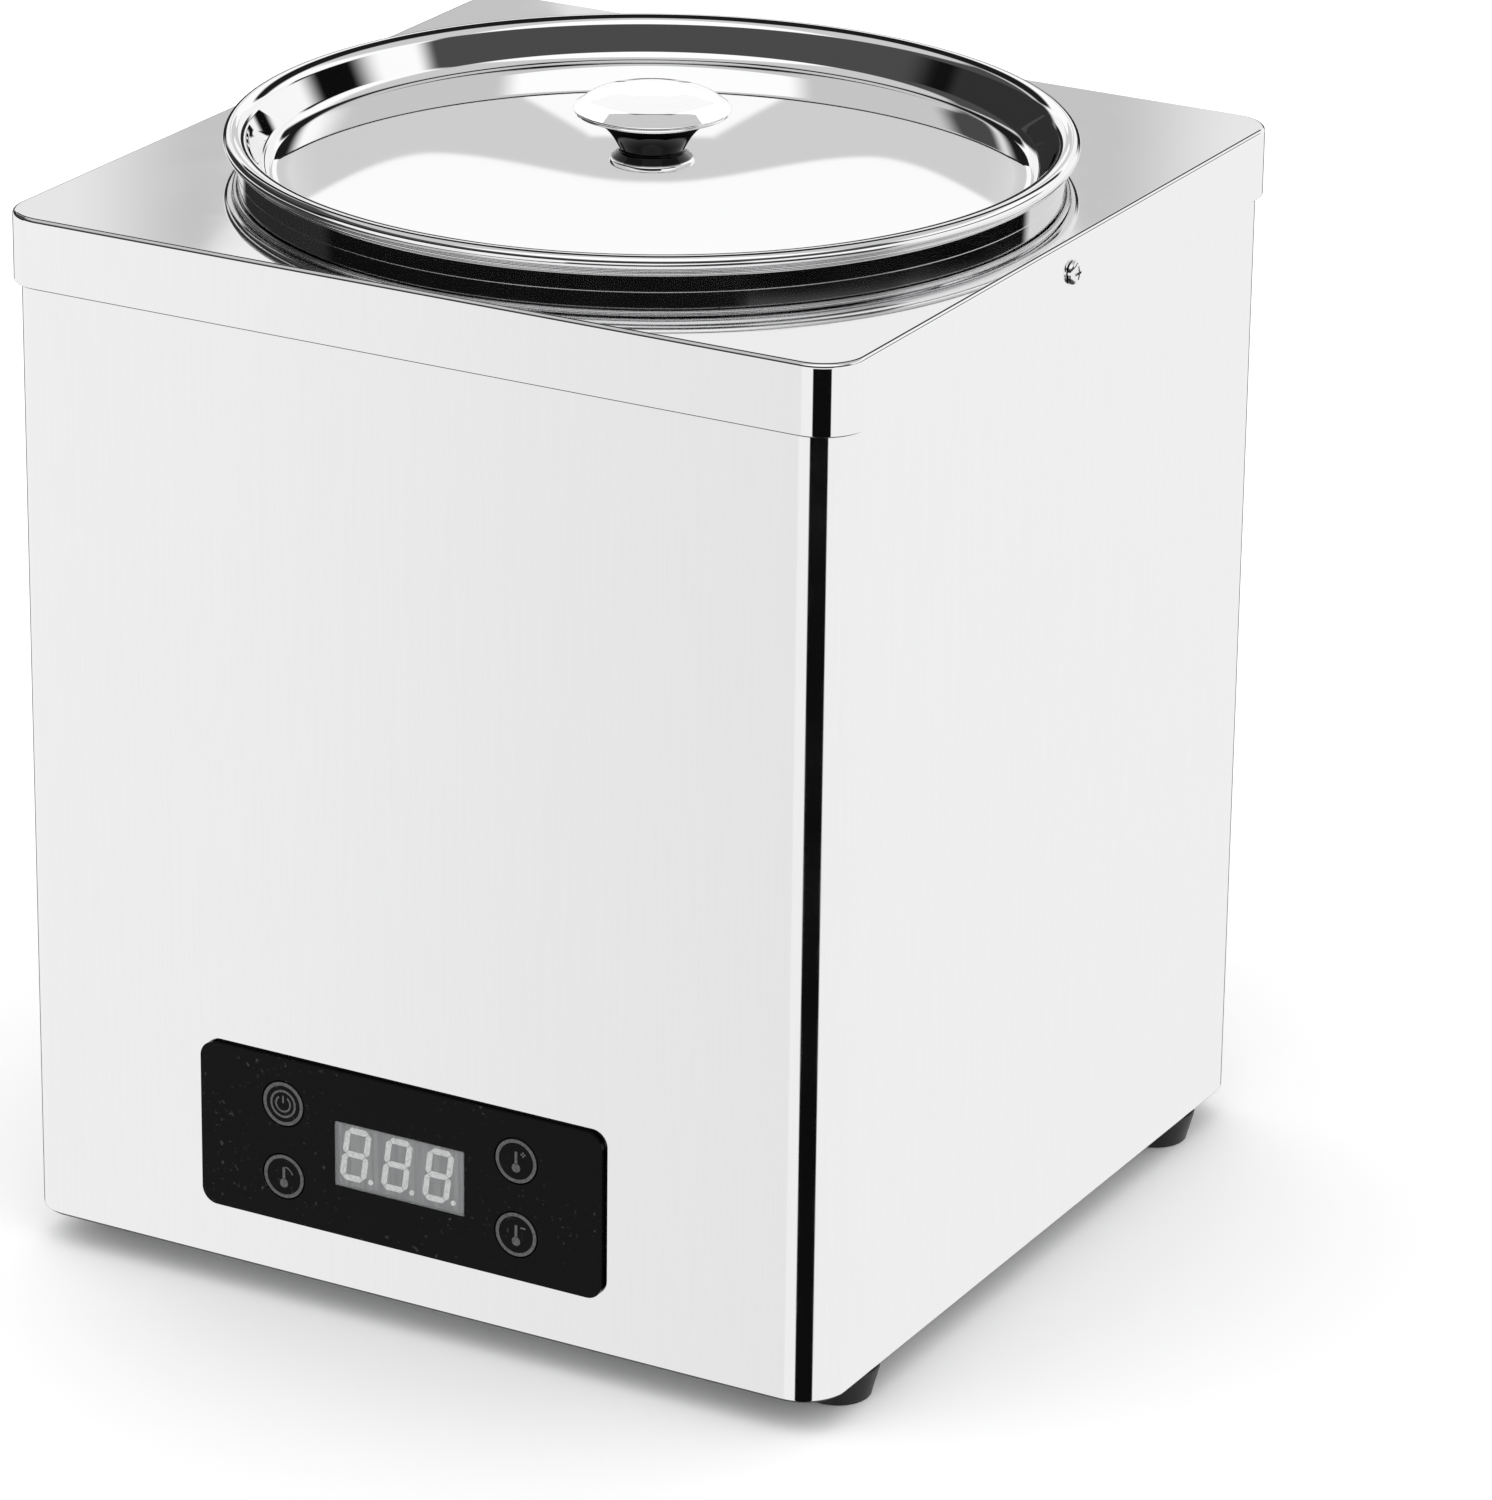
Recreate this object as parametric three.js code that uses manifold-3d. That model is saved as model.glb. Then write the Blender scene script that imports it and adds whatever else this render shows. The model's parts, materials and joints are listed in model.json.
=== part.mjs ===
// A square countertop yogurt maker. A round lidded pot hangs by its rolled rim in a heated drum, inside a
// cabinet folded from polished stainless sheet. Four sprung keys and a three-digit display are low in front.
// Millimetres, +Z up, front towards -Y, origin on the floor under the middle of the cabinet.
import * as THREE from "three";
import { mergeVertices } from "three/addons/utils/BufferGeometryUtils.js";
import Module from "manifold-3d";

const wasm = await Module();
wasm.setup();

// ---- Driving dimensions ----

const FIT = 0.3; // gap left between pieces that touch
const SHEET = 1; // thickness of the cabinet's sheet
const TURNS = 40; // facets round the large turned parts
const SMALL_TURNS = 20; // facets round keys, feet and the knob
const SCREW_TURNS = 12; // facets round screws and their holes

// Cabinet: the body stands on the feet, the cover drops over its top edge.
const FOOT_HEIGHT = 9;
const BODY_SIDE = 242;
const BODY_CORNER = 11.8;
const BODY_HEIGHT = 278; // underside of the body to the top of the cover
const COVER_SIDE = 245;
const COVER_CORNER = 12;
const COVER_DROP = 18.8; // height of the cover's flange
const COVER_SCREW_DROP = 8.8; // flange screws, below the top of the cover
const BODY_HALF = BODY_SIDE / 2;
const COVER_HALF = COVER_SIDE / 2;

// Raised collar of the cover, in which the pot hangs.
const COLLAR_INNER = 106.6;
const COLLAR_OUTER = 107.6;
const COLLAR_HEIGHT = 4.6;

// Feet.
const FOOT_X = 110;
const FOOT_Y = 92.5;
const FOOT_TOP_RADIUS = 11;
const FOOT_BOTTOM_RADIUS = 9;
const FOOT_BORE = 2.4;
const FOOT_RECESS = 4.6; // radius of the pocket that holds the screw head

// Pot, measured from the top of the cover.
const POT_RADIUS = 105.8;
const POT_WALL = 0.8;
const POT_DEPTH = 198.5;
const POT_CORNER = 6.8;
const POT_FLANGE = 5; // underside of the flange
const POT_CURL = 1.1; // radius of the rolled edge
const POT_CURL_RADIUS = 108.9; // where the middle of the roll runs

// Lid, measured from the top of the cover.
const LID_SHEET = 0.7;
const LID_BEAD = 1.65; // radius of the rolled edge
const LID_LAND = { radius: 107.2, height: 10 }; // highest ring of the rim
const LID_LAND_CURVE = 12; // radius of the rim's crowned top
const LID_LAND_SWEEP = 14; // degrees of it, out to the rolled edge
const LID_WALL_TOP = { radius: 105, height: 7.8 };
const LID_WALL_FOOT = { radius: 102.3, height: 2.2 };
const LID_GUTTER = { radius: 98, height: -0.8 };
const LID_CROWN = 0.8; // height of the dome's middle
const LID_HOLE = 2.6;

// Drum heater, measured from the top of the cover.
const DRUM_INNER = 107.2;
const DRUM_WALL = 0.8;
const DRUM_FLOOR = 202; // depth of the drum's floor
const DRUM_FLANGE = 114;
const STUD_RADIUS = 2.5;

// Control panel, in its own frame: x to the right, y up, z out of the cabinet's front.
const PANEL_WIDTH = 121.2;
const PANEL_HEIGHT = 46.3;
const PANEL_CORNER = 4.5;
const PANEL_FACE = 1.4; // how far the fascia stands out
const PANEL_X = -3.4;
const PANEL_Z = 39.05; // middle of the panel above the body's underside
const KEY_RADIUS = 6.3;
const KEY_HOLE = 6.6;
const KEY_SPREAD = 35.2;
const KEY_RISE = 10.35;
const WINDOW_WIDTH = 39;
const WINDOW_HEIGHT = 18.1;
const BOARD_THICKNESS = 1.6;
const CONTROL_BOARD_DEPTH = 8; // front of the control board behind the cabinet's face

// Mains inlet, in its own frame: x to the right seen from behind, y up, z out of the cabinet's back.
const INLET_X = 68;
const INLET_Z = 36;
const INLET_FACE = 2.9;
const INLET_SCREW_SPREAD = 20;
const PIN_SPREAD = 7;
const PIN_OFFSET = 2;

// ---- Finishes ----

const POLISHED = { color: 0xdcdddf, metalness: 1, roughness: 0.08 };
const PLAIN_STEEL = { color: 0xb4b6b8, metalness: 1, roughness: 0.35 };
const CHROME = { color: 0xe6e7e9, metalness: 1, roughness: 0.05 };
const ALUMINIUM = { color: 0xc4c6c9, metalness: 1, roughness: 0.4 };
const BRASS = { color: 0xc9a558, metalness: 1, roughness: 0.3 };
const RUBBER = { color: 0x17181a, metalness: 0, roughness: 0.75 };
const GLOSS_BLACK = { color: 0x060607, metalness: 0, roughness: 0.12 };
const BLACK_PLASTIC = { color: 0x141416, metalness: 0, roughness: 0.45 };
const WHITE_PLASTIC = { color: 0xe6e4dc, metalness: 0, roughness: 0.5 };
const DISPLAY_GREY = { color: 0x6c6d6f, metalness: 0, roughness: 0.4 };
const CLEAR = { color: 0xf2f4f5, metalness: 0, roughness: 0.05, transparent: true, opacity: 0.3 };
const BOARD_GREEN = { color: 0x1d6b3a, metalness: 0, roughness: 0.5 };
const HEATER_RUBBER = { color: 0xb0492b, metalness: 0, roughness: 0.6 };
const FELT = { color: 0xd8d4c8, metalness: 0, roughness: 0.95 };
const RED_CABLE = { color: 0xa02020, metalness: 0, roughness: 0.45 };

// ---- Geometry helpers ----

function solidOf(geometry) {
  const bare = new THREE.BufferGeometry();
  bare.setAttribute("position", geometry.getAttribute("position"));
  bare.setIndex(geometry.getIndex());
  const merged = mergeVertices(bare, 1e-4);
  const vertProperties = merged.getAttribute("position").array;
  const triVerts = new Uint32Array(merged.getIndex().array);
  return new wasm.Manifold(new wasm.Mesh({ numProp: 3, vertProperties, triVerts }));
}

function geometryOf(solid) {
  const mesh = solid.getMesh();
  const geometry = new THREE.BufferGeometry();
  geometry.setAttribute("position", new THREE.BufferAttribute(mesh.vertProperties, 3));
  geometry.setIndex(new THREE.BufferAttribute(mesh.triVerts, 1));
  geometry.computeVertexNormals();
  return geometry;
}

function join(first, ...others) {
  return geometryOf(others.reduce((solid, other) => solid.add(solidOf(other)), solidOf(first)));
}

function cut(body, ...tools) {
  return geometryOf(tools.reduce((solid, tool) => solid.subtract(solidOf(tool)), solidOf(body)));
}

// A box from its lowest to its highest corner.
function block([x0, y0, z0], [x1, y1, z1]) {
  const box = new THREE.BoxGeometry(x1 - x0, y1 - y0, z1 - z0);
  return box.translate((x0 + x1) / 2, (y0 + y1) / 2, (z0 + z1) / 2);
}

function disc(radius, bottom, top, facets = 24) {
  const cylinder = new THREE.CylinderGeometry(radius, radius, top - bottom, facets);
  return cylinder.rotateX(Math.PI / 2).translate(0, 0, (bottom + top) / 2);
}

function prism(shape, bottom, top) {
  const settings = { depth: top - bottom, bevelEnabled: false, curveSegments: 3 };
  return new THREE.ExtrudeGeometry(shape, settings).translate(0, 0, bottom);
}

function roundedRect(width, height, radius) {
  const x = width / 2 - radius;
  const y = height / 2 - radius;
  const shape = new THREE.Shape();
  shape.absarc(x, y, radius, 0, Math.PI / 2);
  shape.absarc(-x, y, radius, Math.PI / 2, Math.PI);
  shape.absarc(-x, -y, radius, Math.PI, 1.5 * Math.PI);
  shape.absarc(x, -y, radius, 1.5 * Math.PI, 2 * Math.PI);
  return shape;
}

// A solid of revolution about Z from [radius, height] points, which run from axis to axis or close up.
function turned(profile, facets = TURNS) {
  const points = profile.map(([radius, height]) => new THREE.Vector2(radius, height));
  if (THREE.ShapeUtils.area(points) < 0) points.reverse();
  if (points[0].x > 0) points.push(points[0].clone());
  return new THREE.LatheGeometry(points, facets).rotateX(Math.PI / 2);
}

// Points of an arc in a profile, with angles in degrees from the radial direction.
function arc(centreRadius, centreHeight, radius, from, to, steps) {
  return Array.from({ length: steps + 1 }, (_, i) => {
    const angle = THREE.MathUtils.degToRad(from + ((to - from) * i) / steps);
    return [centreRadius + radius * Math.cos(angle), centreHeight + radius * Math.sin(angle)];
  });
}

// A round lead along a smooth curve through its points.
function lead(radius, ...points) {
  const route = new THREE.CatmullRomCurve3(points.map((point) => new THREE.Vector3(...point)));
  const section = new THREE.Shape().absarc(0, 0, radius, 0, 2 * Math.PI);
  const settings = { steps: 3 * points.length, curveSegments: 4, bevelEnabled: false, extrudePath: route };
  return new THREE.ExtrudeGeometry(section, settings);
}

function part(name, geometry, finish, position = [0, 0, 0]) {
  const mesh = new THREE.Mesh(geometry, new THREE.MeshStandardMaterial(finish));
  mesh.name = name;
  mesh.position.set(...position);
  return mesh;
}

function assembly(position, ...children) {
  const group = new THREE.Group();
  group.position.set(...position);
  group.add(...children);
  return group;
}

// ---- Cabinet, measured from the body's underside ----

const FOOT_PLACES = [
  ["front_left", -FOOT_X, -FOOT_Y],
  ["front_right", FOOT_X, -FOOT_Y],
  ["back_left", -FOOT_X, FOOT_Y],
  ["back_right", FOOT_X, FOOT_Y],
];

function cabinetShell() {
  const height = BODY_HEIGHT - SHEET - FIT;
  const inner = BODY_SIDE - 2 * SHEET;
  const outside = prism(roundedRect(BODY_SIDE, BODY_SIDE, BODY_CORNER), 0, height);
  const inside = prism(roundedRect(inner, inner, BODY_CORNER - SHEET), -1, height + 1);
  const panelHole = block([-46, -BODY_HALF - 1, -19], [46, -BODY_HALF + 2, 19]);
  panelHole.translate(PANEL_X, 0, PANEL_Z);
  const inletHole = block([-14.5, BODY_HALF - 2, -10.5], [14.5, BODY_HALF + 1, 10.5]);
  const inletScrewHole = disc(1.9, -3, 3, SCREW_TURNS).rotateX(Math.PI / 2);
  const inletHoles = [
    inletHole,
    inletScrewHole.clone().translate(-INLET_SCREW_SPREAD, BODY_HALF, 0),
    inletScrewHole.clone().translate(INLET_SCREW_SPREAD, BODY_HALF, 0),
  ].map((hole) => hole.translate(INLET_X, 0, INLET_Z));
  const screwRun = disc(2.3, -BODY_HALF - 2, BODY_HALF + 2, SCREW_TURNS).rotateY(Math.PI / 2);
  screwRun.translate(0, 0, BODY_HEIGHT - COVER_SCREW_DROP);
  return cut(outside, inside, panelHole, ...inletHoles, screwRun);
}

function basePlate() {
  const thickness = 1.2;
  const side = BODY_SIDE - 2 * SHEET - 2 * FIT;
  const corner = BODY_CORNER - SHEET;
  const pan = prism(roundedRect(side, side, corner), 0, 8);
  const innerSide = side - 2 * thickness;
  const hollow = prism(roundedRect(innerSide, innerSide, corner - thickness), thickness, 9);
  const collars = FOOT_PLACES.map(([, x, y]) => disc(4.2, 0, 4.2, SCREW_TURNS).translate(x, y, 0));
  const bores = FOOT_PLACES.map(([, x, y]) => disc(FOOT_BORE, -1, 5, SCREW_TURNS).translate(x, y, 0));
  const slots = [];
  for (const side of [-1, 1]) {
    for (let row = -2; row <= 2; row += 1) {
      slots.push(block([-24, -2, -1], [24, 2, 3]).translate(side * 60, row * 14, 0));
    }
  }
  return cut(join(cut(pan, hollow), ...collars), ...bores, ...slots);
}

function foot() {
  const height = FOOT_HEIGHT - FIT;
  return turned(
    [
      [FOOT_RECESS, -height],
      [FOOT_BOTTOM_RADIUS - 0.9, -height],
      [FOOT_BOTTOM_RADIUS, 0.9 - height],
      [FOOT_TOP_RADIUS, -1],
      [FOOT_TOP_RADIUS, 0],
      [FOOT_BORE, 0],
      [FOOT_BORE, -4.2],
      [FOOT_RECESS, -4.2],
    ],
    SMALL_TURNS,
  );
}

// A pan-headed screw standing on its head, with the head's inner face at height 0.
function panScrew(headRadius, headHeight, shankRadius, length) {
  return turned(
    [
      [0, -headHeight],
      [headRadius * 0.55, -headHeight * 0.9],
      [headRadius * 0.9, -headHeight * 0.5],
      [headRadius, 0],
      [shankRadius, 0],
      [shankRadius, length],
      [0, length],
    ],
    SCREW_TURNS,
  );
}

function topCover() {
  const inner = COVER_SIDE - 2 * SHEET;
  const outside = prism(roundedRect(COVER_SIDE, COVER_SIDE, COVER_CORNER), -COVER_DROP, 0);
  const inside = prism(roundedRect(inner, inner, COVER_CORNER - SHEET), -COVER_DROP - 1, -SHEET);
  const collar = disc(COLLAR_OUTER, -SHEET, COLLAR_HEIGHT, TURNS);
  const opening = disc(COLLAR_INNER, -COVER_DROP, COLLAR_HEIGHT + 1, TURNS);
  const screwRun = disc(2.3, -COVER_HALF - 2, COVER_HALF + 2, SCREW_TURNS).rotateY(Math.PI / 2);
  screwRun.translate(0, 0, -COVER_SCREW_DROP);
  return cut(join(cut(outside, inside), collar), opening, screwRun);
}

function coverNut() {
  return cut(block([0, -4, -4], [3.4, 4, 4]), disc(2.3, -1, 5, SCREW_TURNS).rotateY(Math.PI / 2));
}

function cabinet() {
  const feet = FOOT_PLACES.flatMap(([place, x, y]) => [
    part(`foot_${place}`, foot(), RUBBER, [x, y, -FIT]),
    part(`foot_screw_${place}`, panScrew(4, 2.6, 1.9, 10.5), PLAIN_STEEL, [x, y, -FIT - 4.2 - FIT]),
  ]);
  const coverScrews = [
    ["right", 1],
    ["left", -1],
  ].flatMap(([side, sign]) => {
    const height = BODY_HEIGHT - COVER_SCREW_DROP;
    const screw = panScrew(3.2, 1.8, 1.9, 8.5).rotateY((-sign * Math.PI) / 2);
    const nut = coverNut().rotateZ(sign > 0 ? 0 : Math.PI);
    return [
      part(`cover_screw_${side}`, screw, CHROME, [sign * (COVER_HALF + 0.2), 0, height]),
      part(`cover_nut_${side}`, nut, PLAIN_STEEL, [sign * (BODY_HALF - SHEET - FIT - 3.4), 0, height]),
    ];
  });
  return assembly(
    [0, 0, FOOT_HEIGHT],
    part("cabinet_shell", cabinetShell(), POLISHED),
    part("base_plate", basePlate(), PLAIN_STEEL),
    part("top_cover", topCover(), POLISHED, [0, 0, BODY_HEIGHT]),
    ...coverScrews,
    ...feet,
  );
}

// ---- Drum heater, measured from the top of the cover ----

function heatingDrum() {
  const outer = DRUM_INNER + DRUM_WALL;
  const flangeTop = -SHEET - FIT;
  return turned([
    [0, -DRUM_FLOOR],
    ...arc(DRUM_INNER - 6, 6 - DRUM_FLOOR, 6, -90, 0, 2),
    [DRUM_INNER, flangeTop],
    [DRUM_FLANGE, flangeTop],
    [DRUM_FLANGE, flangeTop - DRUM_WALL],
    [outer, flangeTop - DRUM_WALL],
    ...arc(outer - 6.8, 6 - DRUM_FLOOR, 6.8, 0, -90, 2),
    [STUD_RADIUS, -DRUM_FLOOR - DRUM_WALL],
    [STUD_RADIUS, -DRUM_FLOOR - 12],
    [0, -DRUM_FLOOR - 12],
  ]);
}

function ring(inner, outer, bottom, top, facets = TURNS) {
  return turned(
    [
      [inner, bottom],
      [outer, bottom],
      [outer, top],
      [inner, top],
    ],
    facets,
  );
}

function bandHeater(bottom, top) {
  const inner = DRUM_INNER + DRUM_WALL + 0.4;
  const seam = block([-3, -130, bottom - 1], [3, -90, top + 1]);
  return cut(ring(inner, inner + 1.2, bottom, top), seam);
}

function heating() {
  const underside = -DRUM_FLOOR - DRUM_WALL - FIT;
  const heaterBottom = underside - 3.2;
  const clampTop = heaterBottom - FIT;
  const clampBottom = clampTop - 1.5;
  const sensorY = 93;
  const probeHeight = underside - 3;
  const studHole = disc(2.9, clampBottom - 1, clampTop + 1, SCREW_TURNS);
  const clampBar = cut(block([-85, -8, clampBottom], [85, 8, clampTop]), studHole);
  const nut = cut(disc(4.6, -3.4, 0, 6), disc(2.8, -4, 1, SCREW_TURNS));
  const probe = disc(2.5, -12, 12, SCREW_TURNS).rotateY(Math.PI / 2);
  const clipBore = disc(2.9, -6, 6, SCREW_TURNS).rotateY(Math.PI / 2);
  clipBore.translate(0, 0, probeHeight - underside);
  const clip = cut(block([-4, -5.5, -6.4], [4, 5.5, 0]), clipBore);
  const cutout = join(disc(8, -4.5, 0, SMALL_TURNS), block([-11, -3, -6], [11, 3, -3.4]));
  return assembly(
    [0, 0, FOOT_HEIGHT + BODY_HEIGHT],
    part("heating_drum", heatingDrum(), PLAIN_STEEL),
    part("drum_heater_band", bandHeater(-170, -100), HEATER_RUBBER),
    part("base_heater", ring(30, 80, heaterBottom, underside, 32), ALUMINIUM),
    part("heater_clamp", clampBar, PLAIN_STEEL),
    part("heater_clamp_nut", nut, BRASS, [0, 0, clampBottom - FIT]),
    part("insulation_sleeve", ring(110.2, 117, -195, -16), FELT),
    part("temperature_probe", probe, BRASS, [0, -sensorY, probeHeight]),
    part("probe_clip", clip, PLAIN_STEEL, [0, -sensorY, underside]),
    part("thermal_cutout", cutout, BLACK_PLASTIC, [0, sensorY, underside]),
  );
}

// ---- Electronics, measured from the body's underside ----

function electronics() {
  const [x, y] = [-20, 35];
  const halfWidth = 50;
  const halfDepth = 30;
  const boardBottom = 11;
  const boardTop = boardBottom + BOARD_THICKNESS;
  const seat = boardTop + FIT;
  const board = block([-halfWidth, -halfDepth, boardBottom], [halfWidth, halfDepth, boardTop]);
  const rail = block([-3, -halfDepth - 2, 1.5], [3, halfDepth + 2, boardBottom - FIT]);
  const railOffset = halfWidth - 5;
  const fuse = disc(3, -12, 12, SCREW_TURNS).rotateX(Math.PI / 2);
  return assembly(
    [x, y, FOOT_HEIGHT],
    part("power_board", board, BOARD_GREEN),
    part("board_rail_left", rail, WHITE_PLASTIC, [-railOffset, 0, 0]),
    part("board_rail_right", rail.clone(), WHITE_PLASTIC, [railOffset, 0, 0]),
    part("transformer", block([-18, -15, 0], [18, 15, 27]), BLACK_PLASTIC, [-26, -8, seat]),
    part("relay", block([-10, -8, 0], [10, 8, 16]), BLACK_PLASTIC, [14, -16, seat]),
    part("capacitor", disc(6.5, 0, 20, SMALL_TURNS), BLACK_PLASTIC, [38, -18, seat]),
    part("fuse", fuse, CLEAR, [38, 8, seat + 3.2]),
    part("terminal_block", block([-22, -6, 0], [22, 6, 13]), BOARD_GREEN, [6, 21, seat]),
  );
}

function wiring() {
  const mains = lead(3, [64, 92, 34], [50, 88, 26], [28, 82, 20], [4, 72, 19], [-12, 66, 19]);
  const heater = lead(2, [-2, 56, 29], [-4, 57, 44], [-24, 54, 62], [-48, 44, 69]);
  const panel = lead(2.2, [-20, 2, 18], [-22, -20, 22], [-12, -60, 24], [-6, -94, 28], [-5, -106, 30]);
  return assembly(
    [0, 0, FOOT_HEIGHT],
    part("mains_lead", mains, BLACK_PLASTIC),
    part("heater_lead", heater, RED_CABLE),
    part("panel_lead", panel, WHITE_PLASTIC),
  );
}

// ---- Control panel, in its own frame ----

const KEY_PLACES = [
  ["power", -KEY_SPREAD, KEY_RISE],
  ["timer", -KEY_SPREAD, -KEY_RISE],
  ["warmer", KEY_SPREAD, KEY_RISE],
  ["cooler", KEY_SPREAD, -KEY_RISE],
];

function fascia() {
  const plate = prism(roundedRect(PANEL_WIDTH, PANEL_HEIGHT, PANEL_CORNER), FIT, PANEL_FACE);
  const keyHoles = KEY_PLACES.map(([, x, y]) => disc(KEY_HOLE, -1, 3, SMALL_TURNS).translate(x, y, 0));
  const halfWidth = WINDOW_WIDTH / 2 + FIT;
  const halfHeight = WINDOW_HEIGHT / 2 + FIT;
  const windowHole = block([-halfWidth, -halfHeight, -1], [halfWidth, halfHeight, 3]);
  return cut(plate, ...keyHoles, windowHole);
}

// A round key cap with a retaining flange behind the fascia and a stem towards its switch.
function key() {
  return turned(
    [
      [0, -2.5],
      [1.5, -2.5],
      [1.5, -0.8],
      [7.5, -0.8],
      [7.5, 0],
      [KEY_RADIUS, 0],
      [KEY_RADIUS, PANEL_FACE],
      [0, PANEL_FACE],
    ],
    SMALL_TURNS,
  );
}

function tactileSwitch() {
  return join(block([-3, -3, 0], [3, 3, 3.5]), disc(1.75, 3.4, 4.5, SCREW_TURNS));
}

function controlPanel() {
  const boardFront = -CONTROL_BOARD_DEPTH;
  const boardBack = boardFront - BOARD_THICKNESS;
  const board = block([-56, -20, boardBack], [56, 20, boardFront]);
  const halfWindow = [WINDOW_WIDTH / 2, WINDOW_HEIGHT / 2];
  const pane = block([-halfWindow[0], -halfWindow[1], 0.7], [halfWindow[0], halfWindow[1], PANEL_FACE]);
  const moduleTop = 0.4;
  const displayBody = block([-19.3, -8.9, boardFront + FIT], [19.3, 8.9, moduleTop]);
  const spacer = disc(3, boardFront + FIT, -SHEET - FIT, SCREW_TURNS);
  const panel = assembly(
    [PANEL_X, -BODY_HALF, FOOT_HEIGHT + PANEL_Z],
    part("panel_fascia", fascia(), GLOSS_BLACK),
    part("display_window", pane, CLEAR),
    part("display_module", displayBody, DISPLAY_GREY),
    part("control_board", board, BOARD_GREEN),
    part("board_spacer_left", spacer, WHITE_PLASTIC, [-51.5, 0, 0]),
    part("board_spacer_right", spacer.clone(), WHITE_PLASTIC, [51.5, 0, 0]),
    ...KEY_PLACES.flatMap(([name, x, y]) => [
      part(`key_${name}`, key(), GLOSS_BLACK, [x, y, 0]),
      part(`switch_${name}`, tactileSwitch(), BLACK_PLASTIC, [x, y, boardFront + FIT]),
    ]),
  );
  panel.rotation.x = Math.PI / 2;
  return panel;
}

// ---- Mains inlet, in its own frame ----

// A rectangle with its two lower corners cut off, as a mains inlet's socket has.
function socketOutline(width, height, chamfer) {
  const x = width / 2;
  const y = height / 2;
  const shape = new THREE.Shape();
  shape.moveTo(x, y);
  shape.lineTo(-x, y);
  shape.lineTo(-x, chamfer - y);
  shape.lineTo(chamfer - x, -y);
  shape.lineTo(x - chamfer, -y);
  shape.lineTo(x, chamfer - y);
  return shape;
}

const PIN_PLACES = [
  ["line", -PIN_SPREAD, PIN_OFFSET],
  ["neutral", PIN_SPREAD, PIN_OFFSET],
  ["earth", 0, -PIN_OFFSET],
];

function inletHousing() {
  const flange = prism(roundedRect(50, 24, 4), FIT, INLET_FACE);
  const barrel = block([-14, -10, -18], [14, 10, FIT + 1]);
  const socket = prism(socketOutline(24.6, 16.6, 4), -14, INLET_FACE + 1);
  const pinHoles = PIN_PLACES.map(([, x, y]) => block([-1.3, -2.3, -19], [1.3, 2.3, -13]).translate(x, y, 0));
  const screwHoles = [-1, 1].map((side) => {
    const countersink = turned([[0, -3], [1.9, -3], [1.9, 0.8], [3.6, 3.4], [0, 3.4]], SCREW_TURNS);
    return countersink.translate(side * INLET_SCREW_SPREAD, 0, 0);
  });
  return cut(join(flange, barrel), socket, ...pinHoles, ...screwHoles);
}

function inlet() {
  const pin = join(block([-1, -2, -18], [1, 2, -1.8]), block([-0.4, -2, -25], [0.4, 2, -17]));
  const screw = turned([[0, -8], [1.5, -8], [1.5, 0.9], [2.9, 2.6], [0, 2.6]], SCREW_TURNS);
  const group = assembly(
    [INLET_X, BODY_HALF, FOOT_HEIGHT + INLET_Z],
    part("inlet_housing", inletHousing(), BLACK_PLASTIC),
    ...PIN_PLACES.map(([name, x, y]) => part(`inlet_pin_${name}`, pin.clone(), BRASS, [x, y, 0])),
    part("inlet_screw_left", screw, PLAIN_STEEL, [-INLET_SCREW_SPREAD, 0, 0]),
    part("inlet_screw_right", screw.clone(), PLAIN_STEEL, [INLET_SCREW_SPREAD, 0, 0]),
  );
  group.rotation.set(Math.PI / 2, 0, Math.PI, "ZYX");
  return group;
}

// ---- Pot and lid, measured from the top of the cover ----

function innerPot() {
  const inner = POT_RADIUS - POT_WALL;
  const floor = POT_WALL - POT_DEPTH;
  const innerCorner = POT_CORNER - POT_WALL;
  const mouthRadius = POT_RADIUS + 1.2;
  const mouthHeight = POT_FLANGE - 1.2;
  const flangeTop = POT_FLANGE + POT_WALL;
  return turned([
    [0, -POT_DEPTH],
    ...arc(POT_RADIUS - POT_CORNER, POT_CORNER - POT_DEPTH, POT_CORNER, -90, 0, 2),
    ...arc(mouthRadius, mouthHeight, 1.2, 180, 90, 2),
    ...arc(POT_CURL_RADIUS, POT_FLANGE, POT_CURL, -150, 120, 5),
    ...arc(mouthRadius, mouthHeight, flangeTop - mouthHeight, 90, 180, 2),
    ...arc(inner - innerCorner, floor + innerCorner, innerCorner, 0, -90, 2),
    [0, floor],
  ]);
}

// Height of the lid's domed top at a distance from its middle.
function domeHeight(radius) {
  const fraction = radius / LID_GUTTER.radius;
  return LID_GUTTER.height + (LID_CROWN - LID_GUTTER.height) * (1 - fraction * fraction);
}

function lid() {
  const domeRadii = [LID_HOLE, 35, 65, LID_GUTTER.radius];
  const landBase = LID_LAND.height - LID_LAND_CURVE;
  const beadStart = 90 - LID_LAND_SWEEP;
  const fromLand = LID_LAND_CURVE - LID_BEAD;
  const [beadRadius, beadHeight] = arc(LID_LAND.radius, landBase, fromLand, beadStart, beadStart, 1)[0];
  const top = [
    ...domeRadii.map((radius) => [radius, domeHeight(radius)]),
    [LID_WALL_FOOT.radius, LID_WALL_FOOT.height],
    [LID_WALL_TOP.radius, LID_WALL_TOP.height],
    ...arc(LID_LAND.radius, LID_LAND.height - 2, 2, 150, 90, 2),
    ...arc(beadRadius, beadHeight, LID_BEAD, beadStart, -120, 5),
  ];
  const underside = [
    [LID_LAND.radius, LID_LAND.height - LID_SHEET],
    [LID_WALL_TOP.radius + 0.7, LID_WALL_TOP.height - 0.3],
    [LID_WALL_FOOT.radius + 0.6, LID_WALL_FOOT.height - 0.4],
    ...domeRadii.map((radius) => [radius, domeHeight(radius) - LID_SHEET]).reverse(),
  ];
  return turned([...top, ...underside]);
}

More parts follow.
